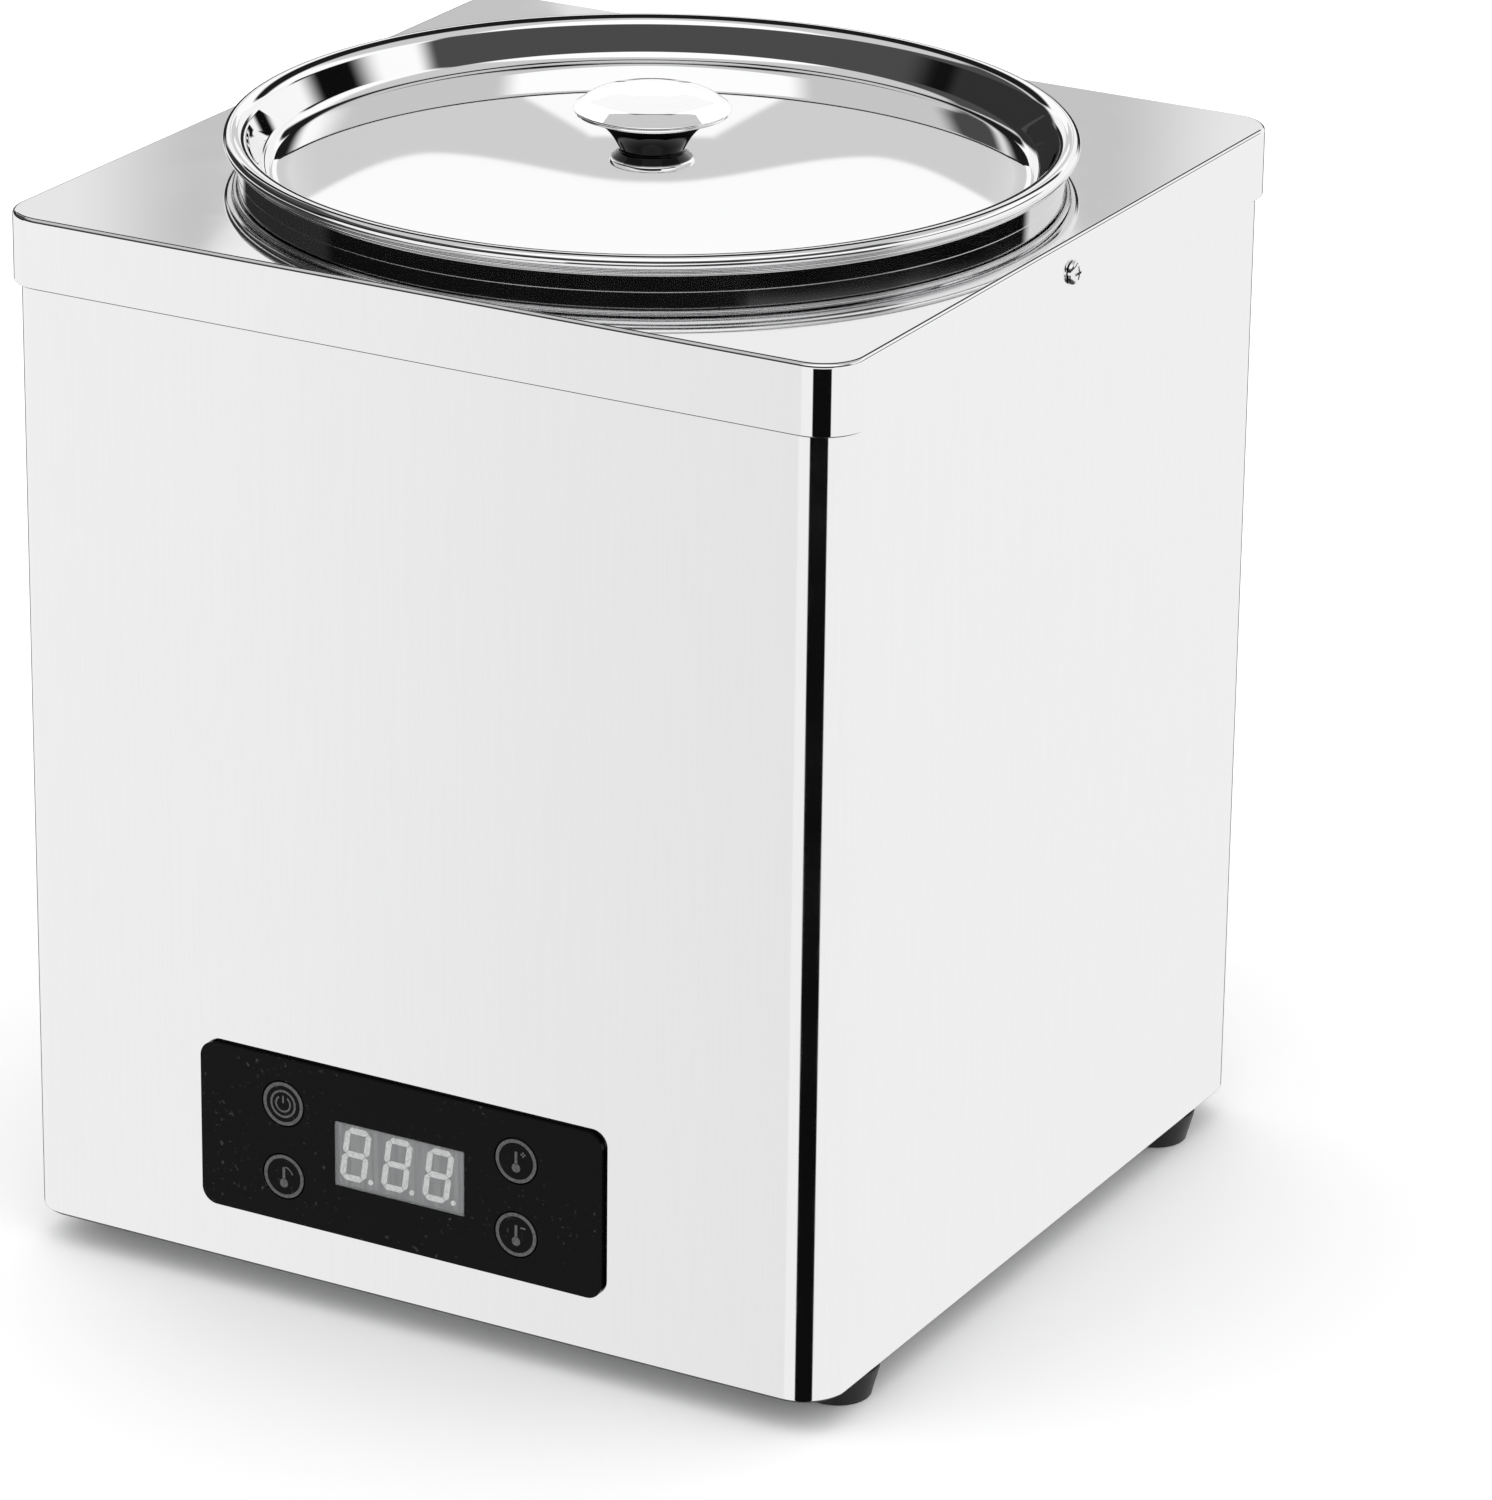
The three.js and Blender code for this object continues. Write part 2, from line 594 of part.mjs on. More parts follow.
// A spool knob, measured from the face that stands on the lid.
function knob() {
  return turned(
    [
      [2.4, 0],
      [11.2, 0],
      [10.8, 1.3],
      [8.4, 3.7],
      [11.4, 9],
      [16, 12],
      [20.3, 13.6],
      [20.7, 14.6],
      [16.5, 17.7],
      [9.5, 19.4],
      [0, 20.1],
      [0, 9],
      [2.4, 9],
    ],
    SMALL_TURNS,
  );
}

function potAndLid() {
  const crownUnderside = domeHeight(LID_HOLE) - LID_SHEET;
  const screw = panScrew(5, 2.2, 1.9, 8.5);
  const lidGroup = assembly(
    [0, 0, 0],
    part("lid", lid(), POLISHED),
    part("lid_knob", knob(), CHROME, [0, 0, LID_CROWN + FIT]),
    part("knob_screw", screw, PLAIN_STEEL, [0, 0, crownUnderside - FIT]),
  );
  return assembly([0, 0, FOOT_HEIGHT + BODY_HEIGHT], part("inner_pot", innerPot(), POLISHED), lidGroup);
}

const yogurtMaker = new THREE.Group();
yogurtMaker.add(cabinet(), heating(), electronics(), wiring(), controlPanel(), inlet(), potAndLid());

export default yogurtMaker;
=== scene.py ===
import json
import math

import bmesh
import bpy
from mathutils import Matrix, Vector

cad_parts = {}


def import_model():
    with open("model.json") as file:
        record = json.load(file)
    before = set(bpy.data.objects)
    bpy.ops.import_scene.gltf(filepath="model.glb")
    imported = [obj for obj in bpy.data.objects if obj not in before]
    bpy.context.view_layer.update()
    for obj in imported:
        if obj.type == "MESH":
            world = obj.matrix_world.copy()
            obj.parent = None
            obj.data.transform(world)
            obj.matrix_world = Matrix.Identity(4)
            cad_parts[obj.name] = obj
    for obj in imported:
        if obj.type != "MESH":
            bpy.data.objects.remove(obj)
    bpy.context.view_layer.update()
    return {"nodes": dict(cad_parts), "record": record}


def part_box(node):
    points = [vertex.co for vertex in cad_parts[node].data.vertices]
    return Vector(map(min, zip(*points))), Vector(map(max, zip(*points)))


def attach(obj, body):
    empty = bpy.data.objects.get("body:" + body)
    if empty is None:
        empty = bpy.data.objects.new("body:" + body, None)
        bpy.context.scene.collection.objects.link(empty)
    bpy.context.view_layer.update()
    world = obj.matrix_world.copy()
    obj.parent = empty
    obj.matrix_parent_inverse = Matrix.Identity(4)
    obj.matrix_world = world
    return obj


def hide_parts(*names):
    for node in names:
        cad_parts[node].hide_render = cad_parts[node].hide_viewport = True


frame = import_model()

# A countertop yogurt maker in polished stainless steel. Sizes are in millimetres, and places come from
# the frame's boxes. A mesh turns into metres when it is made.
MM = 0.001


def corners(node_name):
    """The lowest and highest corners of a CAD node, in millimetres."""
    low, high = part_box(node_name)
    return low / MM, high / MM


def middle(node_name):
    low, high = corners(node_name)
    return (low + high) / 2


def bottom_of(node_name):
    return corners(node_name)[0].z


def top_of(node_name):
    return corners(node_name)[1].z


# ---- Sizes ----

SHEET = 1.0
COLLAR_HEIGHT = 4.6
COVER_LOW, COVER_HIGH = corners("top_cover")
COVER_TOP = COVER_HIGH.z - COLLAR_HEIGHT
COVER_HALF = COVER_HIGH.x
COVER_CORNER = 12.0
BODY_LOW, BODY_HIGH = corners("cabinet_shell")
BODY_HALF = BODY_HIGH.x
BODY_CORNER = 11.8
BARREL_HALF_WIDTH = 14  # of the mains inlet, behind its flange
BARREL_HALF_HEIGHT = 10
LARGE_TURNS = 192  # points round the pot and the lid
SMALL_TURNS = 64
INK_DEPTH = 0.04
INK_GAP = 0.01  # between a surface and the ink on it


# ---- Mesh helpers ----


def make_mesh(name, points, faces):
    """A smooth-shaded closed mesh from points in millimetres."""
    mesh = bpy.data.meshes.new(name)
    mesh.from_pydata([Vector(point) * MM for point in points], [], faces)
    finish_mesh(mesh)
    return mesh


def finish_mesh(mesh):
    """Turns the faces outwards and shades them smooth, with sharp edges where they fold."""
    work = bmesh.new()
    work.from_mesh(mesh)
    bmesh.ops.recalc_face_normals(work, faces=work.faces)
    work.to_mesh(mesh)
    work.free()
    mesh.shade_smooth()
    mesh.set_sharp_from_angle(angle=math.radians(40))
    mesh.update()


def turned(name, profile, turns=LARGE_TURNS):
    """A solid of revolution about Z. The (radius, height) points run from axis to axis or close up."""
    points = []
    rings = []
    for radius, height in profile:
        if radius < 1e-6:
            rings.append([len(points)] * turns)
            points.append((0, 0, height))
            continue
        rings.append(list(range(len(points), len(points) + turns)))
        for i in range(turns):
            angle = 2 * math.pi * i / turns
            points.append((radius * math.cos(angle), radius * math.sin(angle), height))
    if profile[0][0] > 1e-6:
        rings.append(rings[0])
    return make_mesh(name, points, bridge(rings))


def disc(name, radius, bottom, top, turns=SMALL_TURNS):
    return turned(name, [(0, bottom), (radius, bottom), (radius, top), (0, top)], turns)


def bridge(rings):
    """Faces between neighbouring rings of vertex numbers. A ring of one repeated number is a pole."""
    faces = []
    for lower, upper in zip(rings, rings[1:]):
        count = len(lower)
        for i in range(count):
            j = (i + 1) % count
            face = list(dict.fromkeys([lower[i], lower[j], upper[j], upper[i]]))
            if len(face) > 2:
                faces.append(face)
    return faces


def lofted(name, loops):
    """A closed body whose surface runs through loops of equal length and back to the first."""
    count = len(loops[0])
    points = [point for loop in loops for point in loop]
    rings = [list(range(k * count, (k + 1) * count)) for k in range(len(loops))]
    rings.append(rings[0])
    return make_mesh(name, points, bridge(rings))


def prism(name, outline, bottom, top):
    """A straight block over an outline of (x, y) points."""
    count = len(outline)
    points = [(x, y, bottom) for x, y in outline] + [(x, y, top) for x, y in outline]
    rings = [list(range(count)), list(range(count, 2 * count))]
    faces = bridge(rings) + [list(range(count)), list(range(count, 2 * count))]
    return make_mesh(name, points, faces)


def block(name, low, high):
    outline = [(low[0], low[1]), (high[0], low[1]), (high[0], high[1]), (low[0], high[1])]
    return prism(name, outline, low[2], high[2])


def arc(centre, radius, start, end, steps):
    """Points of an arc, with angles in degrees."""
    found = []
    for i in range(steps + 1):
        angle = math.radians(start + (end - start) * i / steps)
        found.append((centre[0] + radius * math.cos(angle), centre[1] + radius * math.sin(angle)))
    return found


def rounded(*outline, steps=6):
    """An outline of (x, y) or (x, y, radius) points, with an arc for each corner that has a radius."""
    found = []
    count = len(outline)
    for i, corner in enumerate(outline):
        here = Vector(corner[:2])
        radius = corner[2] if len(corner) > 2 else 0
        if not radius:
            found.append(tuple(here))
            continue
        before = (Vector(outline[i - 1][:2]) - here).normalized()
        after = (Vector(outline[(i + 1) % count][:2]) - here).normalized()
        half_angle = before.angle(after) / 2
        centre = here + (before + after).normalized() * (radius / math.sin(half_angle))
        reach = radius / math.tan(half_angle)
        first = here + before * reach - centre
        last = here + after * reach - centre
        sweep = first.angle_signed(last)
        for k in range(steps + 1):
            turn = Matrix.Rotation(-sweep * k / steps, 2)
            found.append(tuple(centre + turn @ first))
    return found


def rounded_square(half, corner, height, side_steps=44, corner_steps=16):
    """A loop of points round a square with rounded corners."""
    loop = []
    straight = half - corner
    for quarter in range(4):
        turn = Matrix.Rotation(quarter * math.pi / 2, 2)
        for i in range(1, side_steps):
            loop.append(turn @ Vector((half, straight * (2 * i / side_steps - 1))))
        for x, y in arc((straight, straight), corner, 0, 90, corner_steps):
            loop.append(turn @ Vector((x, y)))
    return [(point.x, point.y, height) for point in loop]


def square_loops(profile, outer_half, outer_corner):
    """Rounded squares, one for each (half width, height) point, whose corners share their centres."""
    loops = []
    for half, height in profile:
        loops.append(rounded_square(half, outer_corner - (outer_half - half), height))
    return loops


def circle_like(loop, radius, height):
    """A circle with a point in the direction of each of the loop's points."""
    found = []
    for point in loop:
        scale = radius / math.hypot(point[0], point[1])
        found.append((point[0] * scale, point[1] * scale, height))
    return found


def rounded_rectangle(width, height, radius, steps=8):
    x = width / 2
    y = height / 2
    return rounded((x, y, radius), (-x, y, radius), (-x, -y, radius), (x, -y, radius), steps=steps)


def moved(mesh, place=(0, 0, 0), turn=None):
    """The mesh turned by a matrix about the origin and moved in millimetres."""
    if turn is not None:
        mesh.transform(turn.to_4x4())
    mesh.transform(Matrix.Translation(Vector(place) * MM))
    return mesh


def joined(name, *meshes):
    """One mesh that holds several separate closed shells."""
    work = bmesh.new()
    for mesh in meshes:
        work.from_mesh(mesh)
    both = bpy.data.meshes.new(name)
    work.to_mesh(both)
    work.free()
    finish_mesh(both)
    return both


def with_modifiers(mesh, *settings):
    """The mesh after modifiers, each given as its kind and a dict of its settings."""
    holder = bpy.data.objects.new("holder", mesh)
    bpy.context.scene.collection.objects.link(holder)
    for kind, values in settings:
        modifier = holder.modifiers.new(kind.lower(), kind)
        for key, value in values.items():
            setattr(modifier, key, value)
    graph = bpy.context.evaluated_depsgraph_get()
    made = bpy.data.meshes.new_from_object(holder.evaluated_get(graph))
    bpy.data.objects.remove(holder)
    return made


def cut(mesh, *tools):
    """The mesh with other meshes taken out of it."""
    holders = [bpy.data.objects.new("tool", tool) for tool in tools]
    for holder in holders:
        bpy.context.scene.collection.objects.link(holder)
    settings = {"operation": "DIFFERENCE", "solver": "EXACT"}
    steps = [("BOOLEAN", {"object": holder, **settings}) for holder in holders]
    made = with_modifiers(mesh, *steps)
    for holder in holders:
        bpy.data.objects.remove(holder)
    finish_mesh(made)
    return made


def united(first, second):
    """One mesh where two closed meshes overlapped."""
    holder = bpy.data.objects.new("tool", second)
    bpy.context.scene.collection.objects.link(holder)
    settings = {"object": holder, "operation": "UNION", "solver": "EXACT"}
    made = with_modifiers(first, ("BOOLEAN", settings))
    bpy.data.objects.remove(holder)
    return made


def softened(mesh, width, segments=3):
    """The mesh with its sharp edges rounded over a width in millimetres."""
    settings = {
        "width": width * MM,
        "segments": segments,
        "limit_method": "ANGLE",
        "angle_limit": math.radians(35),
    }
    made = with_modifiers(mesh, ("BEVEL", settings))
    finish_mesh(made)
    return made


def piece(name, mesh, body, slot, *nodes, finish=None):
    """A finished piece of the object, which rides on a body and stands for CAD nodes."""
    made = bpy.data.objects.new(name, mesh)
    mesh.name = name
    bpy.context.scene.collection.objects.link(made)
    mesh.materials.clear()
    mesh.materials.append(MATERIALS[finish or slot])
    weighted = made.modifiers.new("weighted_normals", "WEIGHTED_NORMAL")
    weighted.keep_sharp = True
    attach(made, body)
    if nodes:
        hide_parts(*nodes)
    return made


# ---- Node helpers ----


def node(tree, kind, inputs=None, **settings):
    """A new shader node. An input given as a socket is linked, and any other value is set."""
    made = tree.nodes.new(kind)
    for key, value in settings.items():
        setattr(made, key, value)
    for key, value in (inputs or {}).items():
        if isinstance(value, bpy.types.NodeSocket):
            tree.links.new(value, made.inputs[key])
        else:
            made.inputs[key].default_value = value
    return made


def maths(tree, operation, *values):
    inputs = dict(enumerate(values))
    return node(tree, "ShaderNodeMath", inputs, operation=operation).outputs[0]


def remap(tree, value, low, high, out_low=0.0, out_high=1.0, smooth=True):
    """A value carried from one range to another, held at both ends."""
    inputs = {"Value": value, "From Min": low, "From Max": high, "To Min": out_low, "To Max": out_high}
    kind = "SMOOTHSTEP" if smooth else "LINEAR"
    return node(tree, "ShaderNodeMapRange", inputs, interpolation_type=kind).outputs["Result"]


def mix_colours(tree, factor, first, second):
    made = node(tree, "ShaderNodeMix", data_type="RGBA")
    for index, value in ((0, factor), (6, first), (7, second)):
        if isinstance(value, bpy.types.NodeSocket):
            tree.links.new(value, made.inputs[index])
        elif index:
            made.inputs[index].default_value = (*value, 1)
        else:
            made.inputs[index].default_value = value
    return made.outputs[2]


def place_on_piece(tree, stretch=(1, 1, 1)):
    """The piece's own coordinates, scaled along each axis."""
    coordinates = node(tree, "ShaderNodeTexCoord").outputs["Object"]
    return node(tree, "ShaderNodeMapping", {"Vector": coordinates, "Scale": stretch}).outputs["Vector"]


def drive(tree, shader, name, socket):
    """Feeds one input of a shader from a socket."""
    tree.links.new(socket, shader.inputs[name])


def shaded(colour, amount):
    return [channel * amount for channel in colour]


def noise(tree, place, scale, detail=3.0):
    inputs = {"Vector": place, "Scale": scale, "Detail": detail}
    return node(tree, "ShaderNodeTexNoise", inputs).outputs["Fac"]


def turning_marks(tree, fineness):
    """Fine rings about the Z axis, such as a lathe or a polishing wheel leaves."""
    x, y, z = node(tree, "ShaderNodeSeparateXYZ", {"Vector": place_on_piece(tree)}).outputs
    flat = node(tree, "ShaderNodeCombineXYZ", {"X": x, "Y": y}).outputs["Vector"]
    radius = node(tree, "ShaderNodeVectorMath", {0: flat}, operation="LENGTH").outputs["Value"]
    place = node(tree, "ShaderNodeCombineXYZ", {"X": radius, "Y": z}).outputs["Vector"]
    return noise(tree, place, fineness, 2.0)


def start_material(name, colour, roughness, metallic=0.0):
    material = bpy.data.materials.new(name)
    material.use_nodes = True
    tree = material.node_tree
    shader = tree.nodes["Principled BSDF"]
    shader.inputs["Base Color"].default_value = (*colour, 1)
    shader.inputs["Roughness"].default_value = roughness
    shader.inputs["Metallic"].default_value = metallic
    return material, tree, shader


def add_bump(tree, shader, height, strength, distance):
    inputs = {"Height": height, "Strength": strength, "Distance": distance * MM}
    bump = node(tree, "ShaderNodeBump", inputs)
    drive(tree, shader, "Normal", bump.outputs["Normal"])


# ---- Materials ----


def sheet_steel(name, colour, low, high, grain, strength):
    """Sheet with a grain along its length, smudges in its shine and a faint ripple."""
    material, tree, shader = start_material(name, colour, low, 1.0)
    fine = noise(tree, place_on_piece(tree, grain), 1.0, 2.0)
    smudges = noise(tree, place_on_piece(tree), 14.0, 4.0)
    blotches = noise(tree, place_on_piece(tree), 45.0, 3.0)
    uneven = maths(tree, "MULTIPLY", smudges, blotches)
    drive(tree, shader, "Roughness", remap(tree, uneven, 0.12, 0.42, low, high))
    mixed = mix_colours(tree, remap(tree, fine, 0.3, 0.7), shaded(colour, 0.99), colour)
    drive(tree, shader, "Base Color", mixed)
    add_bump(tree, shader, fine, strength, 0.002)
    return material


def turned_steel(name, colour, low, high, fineness, strength, fading=0.97):
    """Steel that was turned or polished about its axis. Its marks are the colour times fading."""
    material, tree, shader = start_material(name, colour, low, 1.0)
    rings = turning_marks(tree, fineness)
    smudges = noise(tree, place_on_piece(tree), 22.0, 4.0)
    drive(tree, shader, "Roughness", remap(tree, smudges, 0.35, 0.7, low, high))
    mixed = mix_colours(tree, remap(tree, rings, 0.3, 0.7), shaded(colour, fading), colour)
    drive(tree, shader, "Base Color", mixed)
    add_bump(tree, shader, rings, strength, 0.01)
    return material


def with_painted_shade(material, shade_colour, low, high):
    """The same metal, with a painted shade colour between two heights."""
    tree = material.node_tree
    colour = tree.nodes["Principled BSDF"].inputs["Base Color"]
    metal = colour.links[0].from_socket
    height = node(tree, "ShaderNodeSeparateXYZ", {"Vector": place_on_piece(tree)}).outputs["Z"]
    soft = 0.3
    above = remap(tree, height, (low - soft) * MM, (low + soft) * MM)
    below = remap(tree, height, (high - soft) * MM, (high + soft) * MM, 1.0, 0.0)
    # Where the height mask is 1, the painted shade colour replaces the metal's own colour.
    tree.links.new(mix_colours(tree, maths(tree, "MULTIPLY", above, below), metal, shade_colour), colour)
    return material


def plain_metal(name, colour, roughness, fineness=900.0):
    """Plated or cast metal with a fine tumbled surface."""
    material, tree, shader = start_material(name, colour, roughness, 1.0)
    grain = noise(tree, place_on_piece(tree), fineness, 4.0)
    stains = noise(tree, place_on_piece(tree), 60.0, 3.0)
    uneven = remap(tree, stains, 0.3, 0.7, roughness * 0.8, roughness * 1.3)
    drive(tree, shader, "Roughness", uneven)
    mixed = mix_colours(tree, remap(tree, stains, 0.35, 0.75), colour, shaded(colour, 0.86))
    drive(tree, shader, "Base Color", mixed)
    add_bump(tree, shader, grain, 0.12, 0.03)
    return material


def moulded(name, colour, roughness, fineness=1400.0, relief=0.15):
    """Moulded plastic or rubber with a fine grain and a little dust in it."""
    material, tree, shader = start_material(name, colour, roughness)
    grain = noise(tree, place_on_piece(tree), fineness, 3.0)
    wear = noise(tree, place_on_piece(tree), 70.0, 4.0)
    uneven = remap(tree, wear, 0.3, 0.75, roughness * 0.85, roughness * 1.15)
    drive(tree, shader, "Roughness", uneven)
    dust = 0.022
    dusty = [channel + dust for channel in shaded(colour, 0.85)]
    mixed = mix_colours(tree, remap(tree, wear, 0.5, 0.8), colour, dusty)
    drive(tree, shader, "Base Color", mixed)
    add_bump(tree, shader, grain, relief, 0.05)
    return material


def gloss_black(name, roughness):
    """Glossy black sheet with fine dust and a few hairline scratches."""
    black = (0.003, 0.003, 0.0035)
    dust_grey = (0.04, 0.04, 0.04)
    material, tree, shader = start_material(name, black, roughness)
    dust = noise(tree, place_on_piece(tree), 700.0, 5.0)
    patches = noise(tree, place_on_piece(tree), 40.0, 3.0)
    specks = maths(tree, "MULTIPLY", remap(tree, dust, 0.62, 0.74), remap(tree, patches, 0.42, 0.62))
    scratches = noise(tree, place_on_piece(tree, (60, 60, 2600)), 1.0, 2.0)
    drive(tree, shader, "Base Color", mix_colours(tree, specks, black, dust_grey))
    drive(tree, shader, "Roughness", remap(tree, patches, 0.3, 0.75, roughness, roughness * 2))
    add_bump(tree, shader, scratches, 0.03, 0.01)
    shader.inputs["Specular IOR Level"].default_value = 0.07
    return material


def clear_glass(name, alpha):
    """A thin clear pane that shows what is behind it."""
    material, tree, shader = start_material(name, (0.75, 0.77, 0.78), 0.04)
    shader.inputs["Alpha"].default_value = alpha
    smears = noise(tree, place_on_piece(tree), 120.0, 3.0)
    drive(tree, shader, "Roughness", remap(tree, smears, 0.4, 0.7, 0.03, 0.14))
    return material


def display_plastic():
    """The grey face of a display block, with the faint upright streaks of its moulding."""
    grey = (0.1, 0.1, 0.1)
    darker = (0.045, 0.045, 0.045)
    material, tree, shader = start_material("display_face", grey, 0.5)
    streaks = noise(tree, place_on_piece(tree, (900, 900, 25)), 1.0, 3.0)
    drive(tree, shader, "Base Color", mix_colours(tree, remap(tree, streaks, 0.4, 0.6), darker, grey))
    add_bump(tree, shader, streaks, 0.1, 0.02)
    shader.inputs["Specular IOR Level"].default_value = 0.2
    return material


def printed_ink(name, colour):
    """Screen-printed ink, slightly uneven and worn."""
    material, tree, shader = start_material(name, colour, 0.5)
    wear = noise(tree, place_on_piece(tree), 1500.0, 3.0)
    mixed = mix_colours(tree, remap(tree, wear, 0.4, 0.7), colour, shaded(colour, 0.6))
    drive(tree, shader, "Base Color", mixed)
    add_bump(tree, shader, wear, 0.1, 0.01)
    shader.inputs["Specular IOR Level"].default_value = 0.2
    return material


def circuit_board():
    """Green solder mask over copper tracks."""
    mask = (0.012, 0.11, 0.035)
    copper = (0.03, 0.2, 0.06)
    material, tree, shader = start_material("circuit_board", mask, 0.35)
    inputs = {"Vector": place_on_piece(tree), "Scale": 260.0, "Randomness": 0.35}
    cells = node(tree, "ShaderNodeTexVoronoi", inputs, distance="MANHATTAN", feature="DISTANCE_TO_EDGE")
    tracks = remap(tree, cells.outputs["Distance"], 0.05, 0.12)
    drive(tree, shader, "Base Color", mix_colours(tree, tracks, copper, mask))
    add_bump(tree, shader, tracks, 0.2, 0.03)
    return material


def felt():
    """Pressed mineral felt."""
    pale = (0.72, 0.69, 0.62)
    dark = (0.5, 0.47, 0.4)
    material, tree, shader = start_material("felt", pale, 0.95)
    fibres = noise(tree, place_on_piece(tree, (1, 1, 4)), 500.0, 6.0)
    drive(tree, shader, "Base Color", mix_colours(tree, fibres, dark, pale))
    add_bump(tree, shader, fibres, 0.8, 0.4)
    shader.inputs["Sheen Weight"].default_value = 0.3
    return material


def heater_rubber():
    """Silicone heater mat with the weave of the glass cloth inside it."""
    orange = (0.5, 0.13, 0.05)
    brown = (0.4, 0.09, 0.03)
    material, tree, shader = start_material("heater_band", orange, 0.6)
    waves = {"Vector": place_on_piece(tree), "Scale": 400.0, "Distortion": 1.0}
    weave = node(tree, "ShaderNodeTexWave", waves, bands_direction="Z").outputs["Fac"]
    drive(tree, shader, "Base Color", mix_colours(tree, weave, brown, orange))
    add_bump(tree, shader, weave, 0.3, 0.1)
    return material


FINE_GRAIN = (1500, 1500, 40)
COVER_PAINTED_SHADE_HEIGHTS = (COVER_TOP - 0.3, COVER_TOP + 6.0)  # heights where painted grey shade darkens the cover's top and collar
KNOB_PAINTED_SHADE_HEIGHTS = (COVER_TOP + 2.6, COVER_TOP + 13.6)  # heights where near-black painted shade covers the knob's neck
MATERIALS = {
    "polished_steel": sheet_steel("polished_steel", (0.93, 0.93, 0.935), 0.045, 0.09, FINE_GRAIN, 0.02),
    "lid_steel": turned_steel("lid_steel", (0.94, 0.94, 0.945), 0.018, 0.024, 700.0, 0.0005, 0.995),
    # Painted shade: the cover's flat top and collar are coloured a darker grey than its sides.
    "cover_steel_painted_shade": with_painted_shade(
        sheet_steel("cover_steel_painted_shade", (0.93, 0.93, 0.935), 0.03, 0.06, FINE_GRAIN, 0.01),
        (0.8, 0.8, 0.805),
        *COVER_PAINTED_SHADE_HEIGHTS,
    ),
    # Painted shade: the knob's neck is coloured near black between these heights, and the rest stays
    # chrome.
    "knob_chrome": with_painted_shade(
        turned_steel("knob_chrome", (0.95, 0.95, 0.955), 0.03, 0.05, 1200.0, 0.01),
        (0.012, 0.012, 0.013),
        *KNOB_PAINTED_SHADE_HEIGHTS,
    ),
    "pot_steel": turned_steel("pot_steel", (0.84, 0.84, 0.845), 0.1, 0.2, 1500.0, 0.08),
    "drum_steel": turned_steel("drum_steel", (0.7, 0.7, 0.705), 0.22, 0.34, 1500.0, 0.15),
    "plain_steel": plain_metal("plain_steel", (0.6, 0.61, 0.62), 0.3),
    "chrome_screws": plain_metal("chrome_screws", (0.9, 0.9, 0.91), 0.08),
    "heater_plate": plain_metal("heater_plate", (0.66, 0.67, 0.68), 0.42, 500.0),
    "heater_band": heater_rubber(),
    "brass": plain_metal("brass", (0.72, 0.5, 0.2), 0.3),
    "felt": felt(),
    "foot_rubber": moulded("foot_rubber", (0.016, 0.016, 0.017), 0.6, 1100.0, 0.3),
    "panel_gloss": gloss_black("panel_gloss", 0.09),
    "key_gloss": gloss_black("key_gloss", 0.07),
    "display_glass": clear_glass("display_glass", 0.12),
    "display_face": display_plastic(),
    "display_ink": printed_ink("display_ink", (0.56, 0.56, 0.55)),
    "key_ink": printed_ink("key_ink", (0.1, 0.1, 0.1)),
    "circuit_board": circuit_board(),
    "terminal_plastic": moulded("terminal_plastic", (0.03, 0.22, 0.08), 0.45),
    "black_plastic": moulded("black_plastic", (0.014, 0.014, 0.015), 0.4),
    "inlet_plastic": moulded("inlet_plastic", (0.012, 0.012, 0.013), 0.42, 900.0, 0.25),
    "white_plastic": moulded("white_plastic", (0.75, 0.74, 0.7), 0.45),
    "fuse_glass": clear_glass("fuse_glass", 0.35),
    "mains_cable": moulded("mains_cable", (0.015, 0.015, 0.015), 0.4),
    "heater_cable": moulded("heater_cable", (0.4, 0.02, 0.02), 0.4),
    "panel_cable": moulded("panel_cable", (0.7, 0.69, 0.64), 0.4),
}


# ---- Cabinet ----


def facing(side):
    """A turn that carries +Z to the front or the back, with +Y going up."""
    swing = {"front": 0, "back": 180}[side]
    return Matrix.Rotation(math.radians(swing), 3, "Z") @ Matrix.Rotation(math.radians(90), 3, "X")


def cabinet_shell():
    """The folded sheet wall, with a rounded lower edge and holes for the panel and the inlet."""
    inner = BODY_HALF - SHEET
    edge = 0.9
    wall = rounded(
        (BODY_HALF, BODY_LOW.z, edge),
        (BODY_HALF, BODY_HIGH.z, 0.3),
        (inner, BODY_HIGH.z, 0.3),
        (inner, BODY_LOW.z),
    )
    shell = lofted("cabinet_shell", square_loops(wall, BODY_HALF, BODY_CORNER))
    outside = BODY_HALF + 10
    inside = BODY_HALF - 5
    panel = middle("panel_fascia")
    panel_half = 46
    board_margin = 1
    panel_hole = block(
        "panel_hole",
        (panel.x - panel_half, -outside, bottom_of("control_board") + board_margin),
        (panel.x + panel_half, -inside, top_of("control_board") - board_margin),
    )
    inlet = middle("inlet_housing")
    half_width = BARREL_HALF_WIDTH + 0.5
    half_height = BARREL_HALF_HEIGHT + 0.5
    inlet_hole = block(
        "inlet_hole",
        (inlet.x - half_width, inside, inlet.z - half_height),
        (inlet.x + half_width, outside, inlet.z + half_height),
    )
    return cut(shell, panel_hole, inlet_hole)


